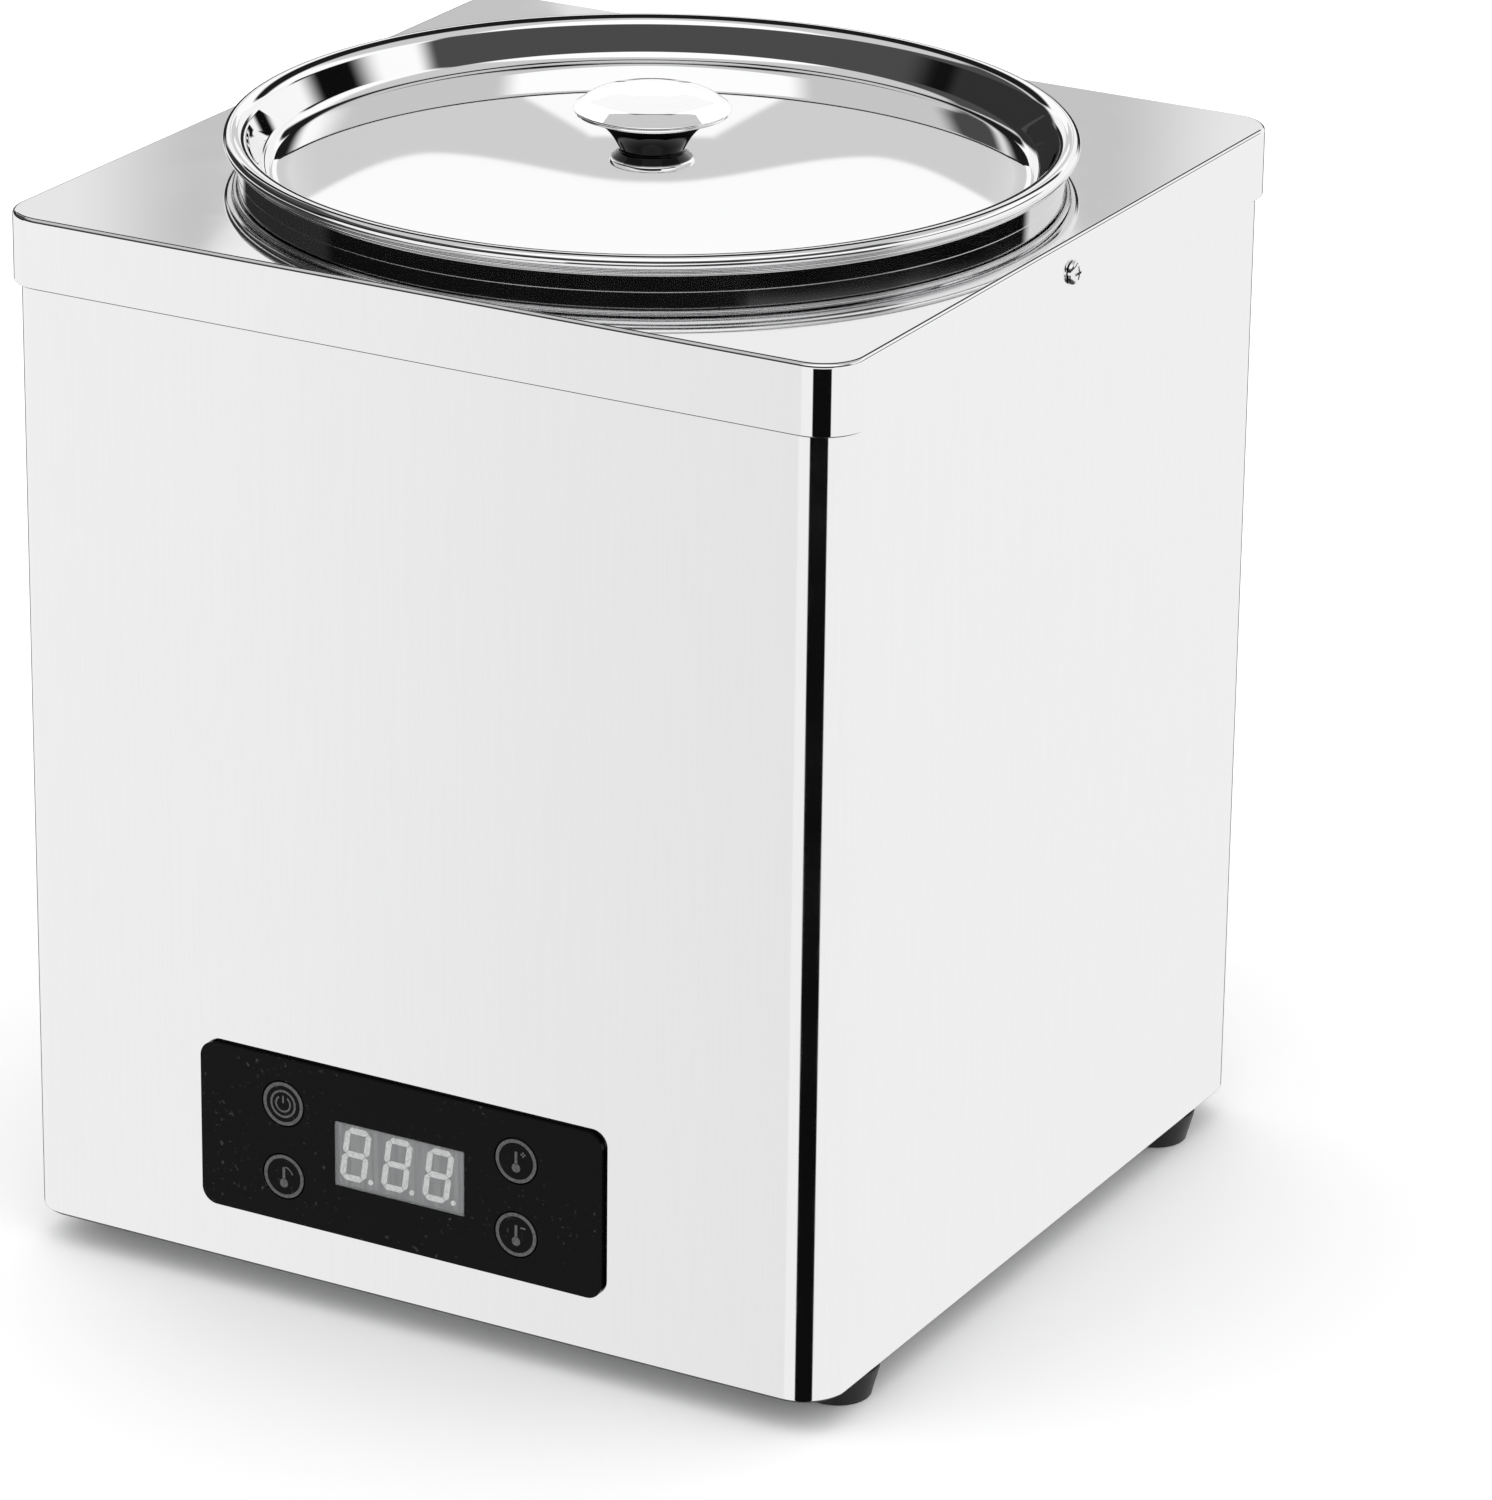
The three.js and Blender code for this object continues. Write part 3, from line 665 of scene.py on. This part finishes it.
def top_cover():
    """The shoebox cover: a folded flange, a flat top and a drawn collar round the pot's opening."""
    bend = 1.2
    flare = 0.1
    edge = SHEET / 2
    collar = 107.6
    flange = [
        *arc((COVER_HALF - edge, COVER_LOW.z + edge), edge, 180, 360, 6),
        *arc((COVER_HALF - bend, COVER_TOP - bend), bend, 0, 90, 8),
    ]
    ring = [
        *arc((collar + flare, COVER_TOP + flare), flare, 270, 180, 6),
        *arc((collar - edge, COVER_HIGH.z - edge), edge, 0, 180, 8),
        (collar - SHEET, COVER_TOP - SHEET),
    ]
    under = arc((COVER_HALF - bend, COVER_TOP - bend), bend - SHEET, 90, 0, 4)
    loops = square_loops(flange, COVER_HALF, COVER_CORNER)
    loops += [circle_like(loops[0], radius, height) for radius, height in ring]
    loops += square_loops(under, COVER_HALF, COVER_CORNER)
    return lofted("top_cover", loops)


def foot_mesh(node_name):
    """A tapered rubber foot with a hole for its screw."""
    low, high = corners(node_name)
    centre = middle(node_name)
    head_seat = high.z - 4.2
    profile = rounded(
        (4.6, low.z, 0.3),
        (9.0, low.z, 0.7),
        (9.2, low.z + 1.2, 0.4),
        (11.0, high.z - 0.9, 0.3),
        (11.0, high.z, 0.25),
        (2.4, high.z),
        (2.4, head_seat),
        (4.6, head_seat),
    )
    return moved(turned(node_name, profile, SMALL_TURNS), (centre.x, centre.y, 0))


def pan_screw(name, radius, height, length):
    """A domed screw standing on its head, with a cross recess. The head's inner face is at height 0."""
    shank = 1.9
    edge = 0.1
    tip = 0.4
    rim = 0.35
    steps = 8
    dome = []
    for i in range(steps + 1):
        angle = math.pi / 2 * i / steps
        dome.append((radius * math.sin(angle), -rim - (height - rim) * math.cos(angle)))
    profile = [
        *dome,
        (radius, -edge),
        (radius - edge, 0),
        (shank, 0),
        (shank, length - tip),
        (shank - tip, length),
        (0, length),
    ]
    screw = turned(name, profile, SMALL_TURNS // 2)
    return cut(screw, *cross_tools(radius * 0.55, radius * 0.11, -height - 1, -height * 0.35))


def cross_tools(arm, slot_half, low, high):
    """Two blocks that cut a cross recess."""
    across = block("across", (-arm, -slot_half, low), (arm, slot_half, high))
    along = block("along", (-slot_half, -arm, low), (slot_half, arm, high))
    return across, along


def cabinet():
    piece("shell", cabinet_shell(), "cabinet", "polished_steel", "cabinet_shell")
    # The cover's finish darkens its top with painted shade.
    piece("cover", top_cover(), "cabinet", "polished_steel", "top_cover", finish="cover_steel_painted_shade")
    foot_screw_length = 10.5
    for side in ("front", "back"):
        for hand in ("left", "right"):
            foot_name = f"foot_{side}_{hand}"
            piece(f"rubber_{foot_name}", foot_mesh(foot_name), "cabinet", "foot_rubber", foot_name)
            screw_name = f"foot_screw_{side}_{hand}"
            centre = middle(screw_name)
            place = (centre.x, centre.y, top_of(screw_name) - foot_screw_length)
            screw = moved(pan_screw(screw_name, 4.0, 2.6, foot_screw_length), place)
            piece(f"fine_{screw_name}", screw, "cabinet", "plain_steel", screw_name)
    for hand, sign in (("right", 1), ("left", -1)):
        screw_name = f"cover_screw_{hand}"
        centre = middle(screw_name)
        seat = sign * (COVER_HALF + 0.2)
        turn = Matrix.Rotation(math.radians(-90 * sign), 3, "Y")
        screw = moved(pan_screw(screw_name, 3.2, 1.8, 8.5), (seat, centre.y, centre.z), turn)
        piece(f"fine_{screw_name}", screw, "cabinet", "chrome_screws", screw_name)


# ---- Pot, drum and lid ----


def drum_mesh():
    """The drum that the pot drops into, with a turned-out lip and a stud under its floor."""
    low, high = corners("heating_drum")
    inner = 107.2
    wall = 0.8
    corner = 6
    lip = 1.6
    lip_end = 113.6
    stud = 2.5
    tip = 0.4
    floor = low.z + 12
    profile = [
        (0, floor),
        *arc((inner - corner, floor + corner), corner, -90, 0, 8),
        *arc((inner + lip, high.z - lip), lip, 180, 90, 5),
        *arc((lip_end, high.z - wall / 2), wall / 2, 90, -90, 6),
        *arc((inner + lip, high.z - lip), lip - wall, 90, 180, 4),
        *arc((inner - corner, floor + corner), corner + wall, 0, -90, 8),
        (stud, floor - wall),
        (stud, low.z + tip),
        (stud - tip, low.z),
        (0, low.z),
    ]
    return turned("drum", profile)


def pot_mesh():
    """A deep pot whose mouth turns out into a rolled edge that rests on the cover's collar."""
    low = bottom_of("inner_pot")
    outer = 105.8
    wall = 0.8
    corner = 6.8
    bend = 1.2
    curl = 0.75
    flange = COVER_TOP + 5
    profile = [
        (0, low),
        *arc((outer - corner, low + corner), corner, -90, 0, 10),
        *arc((outer + bend, flange - bend), bend, 180, 90, 6),
        *arc((108.3, flange + 0.35), curl, -150, 120, 20),
        *arc((outer + bend, flange - bend), bend + wall, 90, 180, 8),
        *arc((outer - corner, low + corner), corner - wall, 0, -90, 10),
        (0, low + wall),
    ]
    return turned("pot", profile)


CROWN = 0.8  # height of the lid's middle over the cover
GUTTER_HEIGHT = -0.8
GUTTER_RADIUS = 98.0


def dome_height(radius):
    """The height of the lid's shallow dome, which sinks to the gutter."""
    fraction = radius / GUTTER_RADIUS
    return COVER_TOP + GUTTER_HEIGHT + (CROWN - GUTTER_HEIGHT) * (1 - fraction * fraction)


def lid_mesh():
    """A pressed lid: a shallow dome, a wall, and a crowned rim that rolls over the pot's edge."""
    sheet = 0.7
    hole = 2.6
    top = COVER_TOP
    dome_end = GUTTER_RADIUS - 1
    dome_steps = 32
    radii = [hole + (dome_end - hole) * i / dome_steps for i in range(dome_steps + 1)]
    wall_tilt = 64
    crown_tilt = 12
    bead = 1.85
    shoulder_centre = (107.98, top + 6.65)
    shoulder = 3.2
    rise = arc(shoulder_centre, shoulder, 90 + wall_tilt, 90 + crown_tilt, 12)
    wall = rounded((dome_end, dome_height(dome_end)), (101.0, top - 0.7, 4.0), rise[0], steps=10)
    crown_radius = 10.0
    lean = math.radians(crown_tilt)
    crown_centre = (
        rise[-1][0] + crown_radius * math.sin(lean),
        rise[-1][1] - crown_radius * math.cos(lean),
    )
    crown = arc(crown_centre, crown_radius, 90 + crown_tilt, 90, 6)
    peak, crest = crown[-1]
    roll = arc((peak, crest - bead), bead, 90, -120, 24)
    under = [
        (peak, crest - sheet),
        *arc(shoulder_centre, shoulder - sheet, 90 + crown_tilt, 90 + wall_tilt, 6),
        (103.0, top + 1.8),
        (101.6, top - 0.6),
        (99.6, top - 1.5),
    ]
    profile = [(radius, dome_height(radius)) for radius in radii]
    profile += wall[1:] + rise[1:] + crown[1:] + roll[1:] + under
    profile += [(radius, dome_height(radius) - sheet) for radius in reversed(radii)]
    return turned("lid", profile)


def knob_mesh():
    """A spool knob: a waisted neck under a wide, slightly domed cap."""
    base = bottom_of("lid_knob")
    screw_hole = base + 9
    profile = rounded(
        (2.4, base),
        (11.2, base, 0.25),
        (10.9, base + 1.3, 0.8),
        (8.4, base + 3.6, 1.2),
        (11.4, base + 9.0, 14.0),
        (16.0, base + 12.2, 6.0),
        (20.3, base + 13.7, 0.5),
        (20.7, base + 14.7, 0.6),
        (16.5, base + 17.7, 8.0),
        (9.5, base + 19.4, 20.0),
        (0, top_of("lid_knob")),
        (0, screw_hole),
        (2.4, screw_hole),
        steps=10,
    )
    return turned("knob", profile, 128)


def pot_and_lid():
    """The drum, the pot and the lid. The lid shows no image of its knob, so the knob is not mirrored."""
    piece("drum", drum_mesh(), "cabinet", "drum_steel", "heating_drum")
    piece("pot", pot_mesh(), "pot", "pot_steel", "inner_pot")
    piece("lid_plate", lid_mesh(), "lid", "lid_steel", "lid")
    # The knob's material paints its neck near black, as shade.
    knob = piece("knob", knob_mesh(), "lid", "knob_chrome", "lid_knob")
    screw_length = 8.5
    place = (0, 0, top_of("knob_screw") - screw_length)
    screw_mesh = moved(pan_screw("knob_screw", 5.0, 2.2, screw_length), place)
    screw = piece("fine_knob_screw", screw_mesh, "lid", "plain_steel", "knob_screw")
    for part in (knob, screw):
        part.visible_glossy = False
    return knob


# ---- Control panel, drawn in its own plane: x to the right, y up, z out of the front ----

PANEL = middle("panel_fascia")
PANEL_ORIGIN = Vector((PANEL.x, -BODY_HALF, PANEL.z))
PANEL_FACE = -BODY_HALF - corners("panel_fascia")[0].y  # how far the fascia stands out
KEYS = ("power", "timer", "warmer", "cooler")
KEY_RADIUS = 6.3


def on_panel(mesh, x=0.0, y=0.0, z=0.0):
    """The mesh moved from the panel's plane to its place on the cabinet."""
    front = facing("front")
    return moved(mesh, PANEL_ORIGIN + front @ Vector((x, y, z)), front)


def key_place(name):
    centre = middle(f"key_{name}")
    return centre.x - PANEL.x, centre.z - PANEL.z


def fascia_mesh():
    """The black front plate, with a window for the display and a hole for each key."""
    low, high = corners("panel_fascia")
    back = -BODY_HALF - high.y
    outline = rounded_rectangle(high.x - low.x, high.z - low.z, 4.5, 12)
    plate = prism("fascia", outline, back, PANEL_FACE)
    gap = 0.2
    through = 5
    window_low, window_high = corners("display_window")
    half_width = (window_high.x - window_low.x) / 2 + gap
    half_height = (window_high.z - window_low.z) / 2 + gap
    low = (-half_width, -half_height, -through)
    high = (half_width, half_height, through)
    tools = [block("window_hole", low, high)]
    for name in KEYS:
        x, y = key_place(name)
        tools.append(moved(disc("key_hole", KEY_RADIUS + 0.25, -through, through), (x, y, 0)))
    return on_panel(softened(cut(plate, *tools), 0.3))


def key_mesh(name):
    """A round key with a collar behind the fascia and a stem that presses its switch."""
    x, y = key_place(name)
    profile = rounded(
        (0, -2.5),
        (1.5, -2.5, 0.2),
        (1.5, -0.8),
        (7.5, -0.8, 0.2),
        (7.5, 0, 0.2),
        (KEY_RADIUS, 0),
        (KEY_RADIUS, PANEL_FACE, 0.35),
        (0, PANEL_FACE),
    )
    return on_panel(turned(name, profile, SMALL_TURNS), x, y)


def ink(outline):
    """A printed shape over an outline, a hair thick."""
    return prism("ink", outline, 0, INK_DEPTH)


def ink_ring(outer, line, start=0, sweep=360):
    """A printed ring, or part of one."""
    steps = max(12, int(sweep / 6))
    outside = arc((0, 0), outer, start, start + sweep, steps)
    inside = arc((0, 0), outer - line, start + sweep, start, steps)
    if sweep < 360:
        return ink(outside + inside)
    profile = [(outer - line, 0), (outer, 0), (outer, INK_DEPTH), (outer - line, INK_DEPTH)]
    return turned("ring", profile, SMALL_TURNS)


def ink_bar(x, y, width, height):
    return moved(ink(rounded_rectangle(width, height, min(width, height) * 0.3, 4)), (x, y, 0))


def key_symbol(name):
    """The ink on a key: a ring, and a power mark or a thermometer with a curve, a plus or a minus."""
    ring = ink_ring(KEY_RADIUS - 0.25, 0.95)
    if name == "power":
        return [ring, ink_ring(3.9, 0.6), ink_ring(2.4, 0.5, 125, 290), ink_bar(0, 1.3, 0.5, 2.1)]
    bulb = moved(disc("bulb", 1.25, 0, INK_DEPTH, SMALL_TURNS // 2), (0, -1.9, 0))
    stem = ink_bar(0, 0.9, 0.8, 3.6)
    if name == "timer":
        return [ring, bulb, stem, ink_ring(3.0, 0.4, 20, 60)]
    line = 0.45
    length = 1.5
    centre = (2.1, 2.2)
    marks = [ink_bar(*centre, length, line)]
    if name == "warmer":
        marks.append(ink_bar(*centre, line, length))
    return [ring, bulb, stem, *marks]


def key_print(name):
    x, y = key_place(name)
    return on_panel(joined(f"{name}_print", *key_symbol(name)), x, y, PANEL_FACE + INK_GAP)


SEGMENT = 1.7  # width of a lit bar
DIGIT_WIDTH = 8.0
DIGIT_HEIGHT = 15.2
DIGIT_PITCH = 12.5
DIGIT_SLANT = math.radians(8)
DIGIT_SHIFT = (-1.2, 0.3)  # of the three digits, from the panel's middle


def segment(x, y, length, upright):
    """One bar of a digit, with pointed ends."""
    half = SEGMENT / 2
    gap = 0.12
    along = length / 2 - gap
    bar = [
        (-along, 0),
        (half - along, -half),
        (along - half, -half),
        (along, 0),
        (along - half, half),
        (half - along, half),
    ]
    if upright:
        bar = [(-across, up) for up, across in bar]
    return [(x + across, y + up) for across, up in bar]


def digit(centre):
    """Three level bars, four upright ones and a point, leaning to the right."""
    point_gap = 2.3
    point_radius = 0.75
    reach = (DIGIT_WIDTH - SEGMENT) / 2
    rise = (DIGIT_HEIGHT - SEGMENT) / 2
    outlines = [segment(0, rise * level, 2 * reach, False) for level in (-1, 0, 1)]
    for side in (-1, 1):
        outlines += [segment(side * reach, level * rise / 2, rise, True) for level in (-1, 1)]
    outlines.append(arc((reach + point_gap, -rise), point_radius, 0, 345, 23))
    leaning = []
    for outline in outlines:
        shifted = [(centre + x + y * math.tan(DIGIT_SLANT), y) for x, y in outline]
        leaning.append(ink(shifted))
    return leaning


def display_digits():
    shift_x, shift_y = DIGIT_SHIFT
    bars = [bar for place in (-1, 0, 1) for bar in digit(place * DIGIT_PITCH + shift_x)]
    module_front = -BODY_HALF - corners("display_module")[0].y
    return on_panel(joined("digits", *bars), 0, shift_y, module_front + INK_GAP)


def control_panel():
    piece("fascia", fascia_mesh(), "cabinet", "panel_gloss", "panel_fascia")
    for name in KEYS:
        piece(f"{name}_key", key_mesh(name), f"key_{name}", "key_gloss", f"key_{name}")
        piece(f"{name}_key_print", key_print(name), f"key_{name}", "key_gloss", finish="key_ink")
    for node_name, slot in (("display_window", "display_glass"), ("display_module", "display_face")):
        low, high = corners(node_name)
        mesh = softened(block(node_name, low, high), 0.15)
        piece(f"fine_{node_name}", mesh, "cabinet", slot, node_name)
    piece("display_digits", display_digits(), "cabinet", "display_face", finish="display_ink")


# ---- Mains inlet, in its own plane on the back ----


INLET_TURNS = 48


def inlet_mesh():
    """A flange with two screw holes, and a barrel behind it with a socket for a mains plug."""
    face = corners("inlet_housing")[1].y - BODY_HALF
    low = (-BARREL_HALF_WIDTH, -BARREL_HALF_HEIGHT, -18)
    high = (BARREL_HALF_WIDTH, BARREL_HALF_HEIGHT, 0.4)
    flange = prism("inlet", rounded_rectangle(50, 24, 4, 10), 0.3, face)
    fewer_points = ("WELD", {"merge_threshold": 1 * MM})
    housing = united(with_modifiers(flange, fewer_points), block("barrel", low, high))
    rim = 1.7
    chamfer = 4
    x = BARREL_HALF_WIDTH - rim
    y = BARREL_HALF_HEIGHT - rim
    socket_outline = rounded(
        (x, y, 0.8),
        (-x, y, 0.8),
        (-x, chamfer - y, 0.5),
        (chamfer - x, -y, 0.5),
        (x - chamfer, -y, 0.5),
        (x, chamfer - y, 0.5),
    )
    tools = [prism("socket", socket_outline, -14, face + 1)]
    countersink = [(0, -3), (1.9, -3), (1.9, 0.8), (3.6, 3.4), (0, 3.4)]
    for side in (-1, 1):
        tools.append(moved(turned("hole", countersink, INLET_TURNS), (side * 20, 0, 0)))
    return on_back(softened(cut(housing, *tools), 0.35), "inlet_housing")


def on_back(mesh, node_name):
    """The mesh moved from the back's plane to its place on the cabinet, in line with a CAD node."""
    centre = middle(node_name)
    return moved(mesh, (centre.x, BODY_HALF, centre.z), facing("back"))


def inlet():
    piece("inlet", inlet_mesh(), "cabinet", "inlet_plastic", "inlet_housing")
    for name in ("line", "neutral", "earth"):
        node_name = f"inlet_pin_{name}"
        blade = softened(block(node_name, (-1, -2, -18), (1, 2, -1.8)), 0.45)
        tail = block("tail", (-0.4, -2, -25), (0.4, 2, -17.9))
        pin = on_back(joined(node_name, blade, tail), node_name)
        piece(f"fine_{node_name}", pin, "cabinet", "brass", node_name)
    for hand in ("left", "right"):
        node_name = f"inlet_screw_{hand}"
        profile = [(0, -8), (1.5, -8), (1.5, 0.9), (2.8, 2.4), (2.6, 2.6), (0, 2.6)]
        screw = cut(turned(node_name, profile, INLET_TURNS), *cross_tools(1.5, 0.3, 1.9, 4))
        piece(f"fine_{node_name}", on_back(screw, node_name), "cabinet", "plain_steel", node_name)


# ---- CAD pieces that keep their shape ----


def dress_cad_nodes():
    """Gives each CAD piece that still shows the material of its slot."""
    slots = {row["node"]: row["material_slot"] for row in frame["record"]["subparts"]}
    for name, kept in frame["nodes"].items():
        if kept.hide_render:
            continue
        kept.data.materials.clear()
        kept.data.materials.append(MATERIALS[slots[name]])


# ---- Studio. Its angles are in degrees, with azimuth 0 in front of the object and 90 to its right ----

CAMERA_AZIMUTH = 28.78
CAMERA_ELEVATION = 21.38
CAMERA_ROLL = 0.74
CAMERA_DISTANCE = 1986.4
CAMERA_TARGET = (22.7, 13.5, 123.8)
LENS = 177.84
SENSOR = 36.0
BEHIND = -150.4  # azimuth of what the lid mirrors to the camera


def direction(azimuth, elevation):
    """The direction from the object to a place."""
    level = math.cos(math.radians(elevation))
    return Vector((
        math.sin(math.radians(azimuth)) * level,
        -math.cos(math.radians(azimuth)) * level,
        math.sin(math.radians(elevation)),
    ))


def camera():
    lens = bpy.data.cameras.new("camera")
    lens.lens = LENS
    lens.sensor_width = SENSOR
    lens.clip_end = 50
    made = bpy.data.objects.new("camera", lens)
    bpy.context.scene.collection.objects.link(made)
    back = direction(CAMERA_AZIMUTH, CAMERA_ELEVATION)
    aim = (-back).to_track_quat("-Z", "Y")
    roll = Matrix.Rotation(math.radians(CAMERA_ROLL), 4, "Z")
    place = (Vector(CAMERA_TARGET) + back * CAMERA_DISTANCE) * MM
    made.matrix_world = Matrix.Translation(place) @ aim.to_matrix().to_4x4() @ roll
    bpy.context.scene.camera = made


def floor():
    """A wide pale floor under the feet."""
    half = 12000
    outline = [(-half, -half, 0), (half, -half, 0), (half, half, 0), (-half, half, 0)]
    mesh = make_mesh("floor", outline, [[0, 1, 2, 3]])
    made = bpy.data.objects.new("floor", mesh)
    bpy.context.scene.collection.objects.link(made)
    pale = (0.97, 0.97, 0.97)
    darker = (0.96, 0.96, 0.96)
    material, tree, shader = start_material("floor", pale, 0.9)
    mottle = noise(tree, place_on_piece(tree), 3.0, 2.0)
    drive(tree, shader, "Base Color", mix_colours(tree, mottle, darker, pale))
    shader.inputs["Specular IOR Level"].default_value = 0.0
    mesh.materials.append(material)
    made.visible_glossy = False


def area_light(name, azimuth, elevation, distance, **settings):
    """An area light that faces the object from a distance in metres."""
    lamp = bpy.data.lights.new(name, "AREA")
    for key, value in settings.items():
        setattr(lamp, key, value)
    made = bpy.data.objects.new(name, lamp)
    bpy.context.scene.collection.objects.link(made)
    away = direction(azimuth, elevation)
    turn = away.to_track_quat("Z", "Y").to_matrix().to_4x4()
    made.matrix_world = Matrix.Translation(away * distance) @ turn
    return made


def key_light():
    """A large soft light over the front left, which polished surfaces do not mirror."""
    made = area_light("key_light", -35, 55, 2.6, shape="DISK", size=1.6, energy=4)
    made.visible_glossy = False


def light_the_knob(knob):
    """A softbox behind the object that lights the knob only."""
    width = 1.9
    height = 1.05
    energy = math.pi * width * height
    size = {"shape": "RECTANGLE", "size": width, "size_y": height}
    made = area_light("knob_softbox", BEHIND, 43, 0.9, **size, energy=energy)
    made.visible_camera = False
    lit = bpy.data.collections.new("lit_by_knob_softbox")
    lit.objects.link(knob)
    made.light_linking.receiver_collection = lit


def degrees_from(tree, azimuth, centre):
    """The angle between two azimuths."""
    offset = maths(tree, "SUBTRACT", azimuth, centre)
    return maths(tree, "ABSOLUTE", maths(tree, "WRAP", offset, 180.0, -180.0))


def between(tree, value, low, high, soft):
    """1 from low to high, with soft edges."""
    rising = remap(tree, value, low - soft, low + soft)
    falling = remap(tree, value, high - soft, high + soft, 1.0, 0.0)
    return maths(tree, "MULTIPLY", rising, falling)


def darkened(tree, light, mask, level):
    """The light pulled towards a level where the mask is 1."""
    gap = maths(tree, "SUBTRACT", level, light)
    return maths(tree, "MULTIPLY_ADD", mask, gap, light)


def studio_reflections(tree):
    """How bright the studio looks in a polished surface.

    The walls and the ceiling are white, and parts of them are darkened one after another."""
    seen_from = node(tree, "ShaderNodeTexCoord").outputs["Generated"]
    x, y, z = node(tree, "ShaderNodeSeparateXYZ", {"Vector": seen_from}).outputs
    azimuth = maths(tree, "DEGREES", maths(tree, "ARCTAN2", x, maths(tree, "MULTIPLY", y, -1.0)))
    elevation = maths(tree, "DEGREES", maths(tree, "ARCSINE", z))
    light = remap(tree, elevation, -30.0, 60.0, 0.92, 1.1)

    def near(centre, full, none):
        """1 within full degrees of an azimuth, falling to 0 at none degrees."""
        return remap(tree, degrees_from(tree, azimuth, centre), full, none, 1.0, 0.0)

    def shade(mask, low, high, soft, level):
        """Gives a stretch between two elevations a level, where the mask is 1."""
        zone = maths(tree, "MULTIPLY", mask, between(tree, elevation, low, high, soft))
        return darkened(tree, light, zone, level)

    # Light grey: the floor that the front mirrors, and the studio high up, but for the camera's side.
    light = shade(near(-26.0, 2.0, 9.0), -70, -2, 5, 0.84)
    light = shade(maths(tree, "SUBTRACT", 1.0, near(28.8, 58.0, 70.0)), 38, 100, 4, 0.62)
    # Behind the object are a black panel high up, black ground, and a grey wall that the lid mirrors.
    light = shade(near(BEHIND, 24.0, 34.0), 22.5, 68, 1.0, 0.012)
    light = shade(near(BEHIND, 20.0, 28.0), -90, 10, 1.0, 0.02)
    light = darkened(tree, light, *lid_backdrop(tree, azimuth, elevation))
    # The ground under the object is dark, and the part that the near corner mirrors is black.
    light = darkened(tree, light, remap(tree, elevation, -50.0, -36.0, 1.0, 0.0), 0.08)
    light = shade(near(28.5, 20.5, 23.0), -90, -16, 1, 0.004)
    # Dark drapes hang round the front and the sides. The lid's rim and inner wall mirror them.
    light = shade(near(-7.0, 106.0, 114.0), 19, 42, 2, 0.07)
    light = shade(near(-95.0, 28.0, 36.0), -2, 22, 2, 0.03)
    light = shade(near(104.0, 50.0, 56.0), 12, 20, 2, 0.004)
    light = shade(near(-8.0, 60.0, 66.0), 7, 22, 2, 0.006)
    return light


def lid_backdrop(tree, azimuth, elevation):
    """A mask of the grey wall that the lid mirrors, and the wall's shade.

    The mask leaves out the softbox, whose lower edge dips and then rises to both sides. It also leaves out
    a narrow white panel under the softbox's middle."""
    softbox_edge = 17.66
    panel_low = 11.0
    panel_high = 15.75
    aside = degrees_from(tree, azimuth, BEHIND)
    near = remap(tree, aside, 45.0, 60.0, 1.0, 0.0)
    dip = remap(tree, aside, 0.1, 2.5, 0.0, 1.28)
    rise = remap(tree, aside, 2.4, 5.2, 0.0, 3.2)
    edge = maths(tree, "ADD", maths(tree, "SUBTRACT", softbox_edge, dip), rise)
    below_softbox = remap(tree, maths(tree, "SUBTRACT", elevation, edge), -0.12, 0.12, 1.0, 0.0)
    panel_half_width = remap(tree, elevation, 13.8, 15.8, 1.45, 0.65, smooth=False)
    outside_panel = remap(tree, maths(tree, "SUBTRACT", aside, panel_half_width), -0.08, 0.08)
    beyond_panel = maths(tree, "SUBTRACT", 1.0, between(tree, elevation, panel_low, panel_high, 0.12))
    off_panel = maths(tree, "MAXIMUM", outside_panel, beyond_panel)
    above_ground = remap(tree, elevation, 9.0, 11.0)
    wall = maths(tree, "MULTIPLY", maths(tree, "MULTIPLY", below_softbox, off_panel), above_ground)
    return maths(tree, "MULTIPLY", near, wall), remap(tree, aside, 3.6, 4.8, 0.64, 0.95)


def background(tree, strength):
    inputs = {"Color": (1, 1, 1, 1), "Strength": strength}
    return node(tree, "ShaderNodeBackground", inputs).outputs[0]


def world():
    """Even white light, with the studio seen only in reflections."""
    made = bpy.data.worlds.new("studio")
    bpy.context.scene.world = made
    made.use_nodes = True
    tree = made.node_tree
    tree.nodes.clear()
    path = node(tree, "ShaderNodeLightPath").outputs
    seen = background(tree, 1.0)
    plain = background(tree, 1.22)
    mirrored = background(tree, studio_reflections(tree))
    indirect = node(tree, "ShaderNodeMixShader", {0: path["Is Glossy Ray"], 1: plain, 2: mirrored})
    inputs = {0: path["Is Camera Ray"], 1: indirect.outputs[0], 2: seen}
    final = node(tree, "ShaderNodeMixShader", inputs)
    node(tree, "ShaderNodeOutputWorld", {"Surface": final.outputs[0]})


camera()
cabinet()
light_the_knob(pot_and_lid())
control_panel()
inlet()
dress_cad_nodes()
world()
floor()
key_light()
bpy.context.scene.view_settings.view_transform = "Standard"
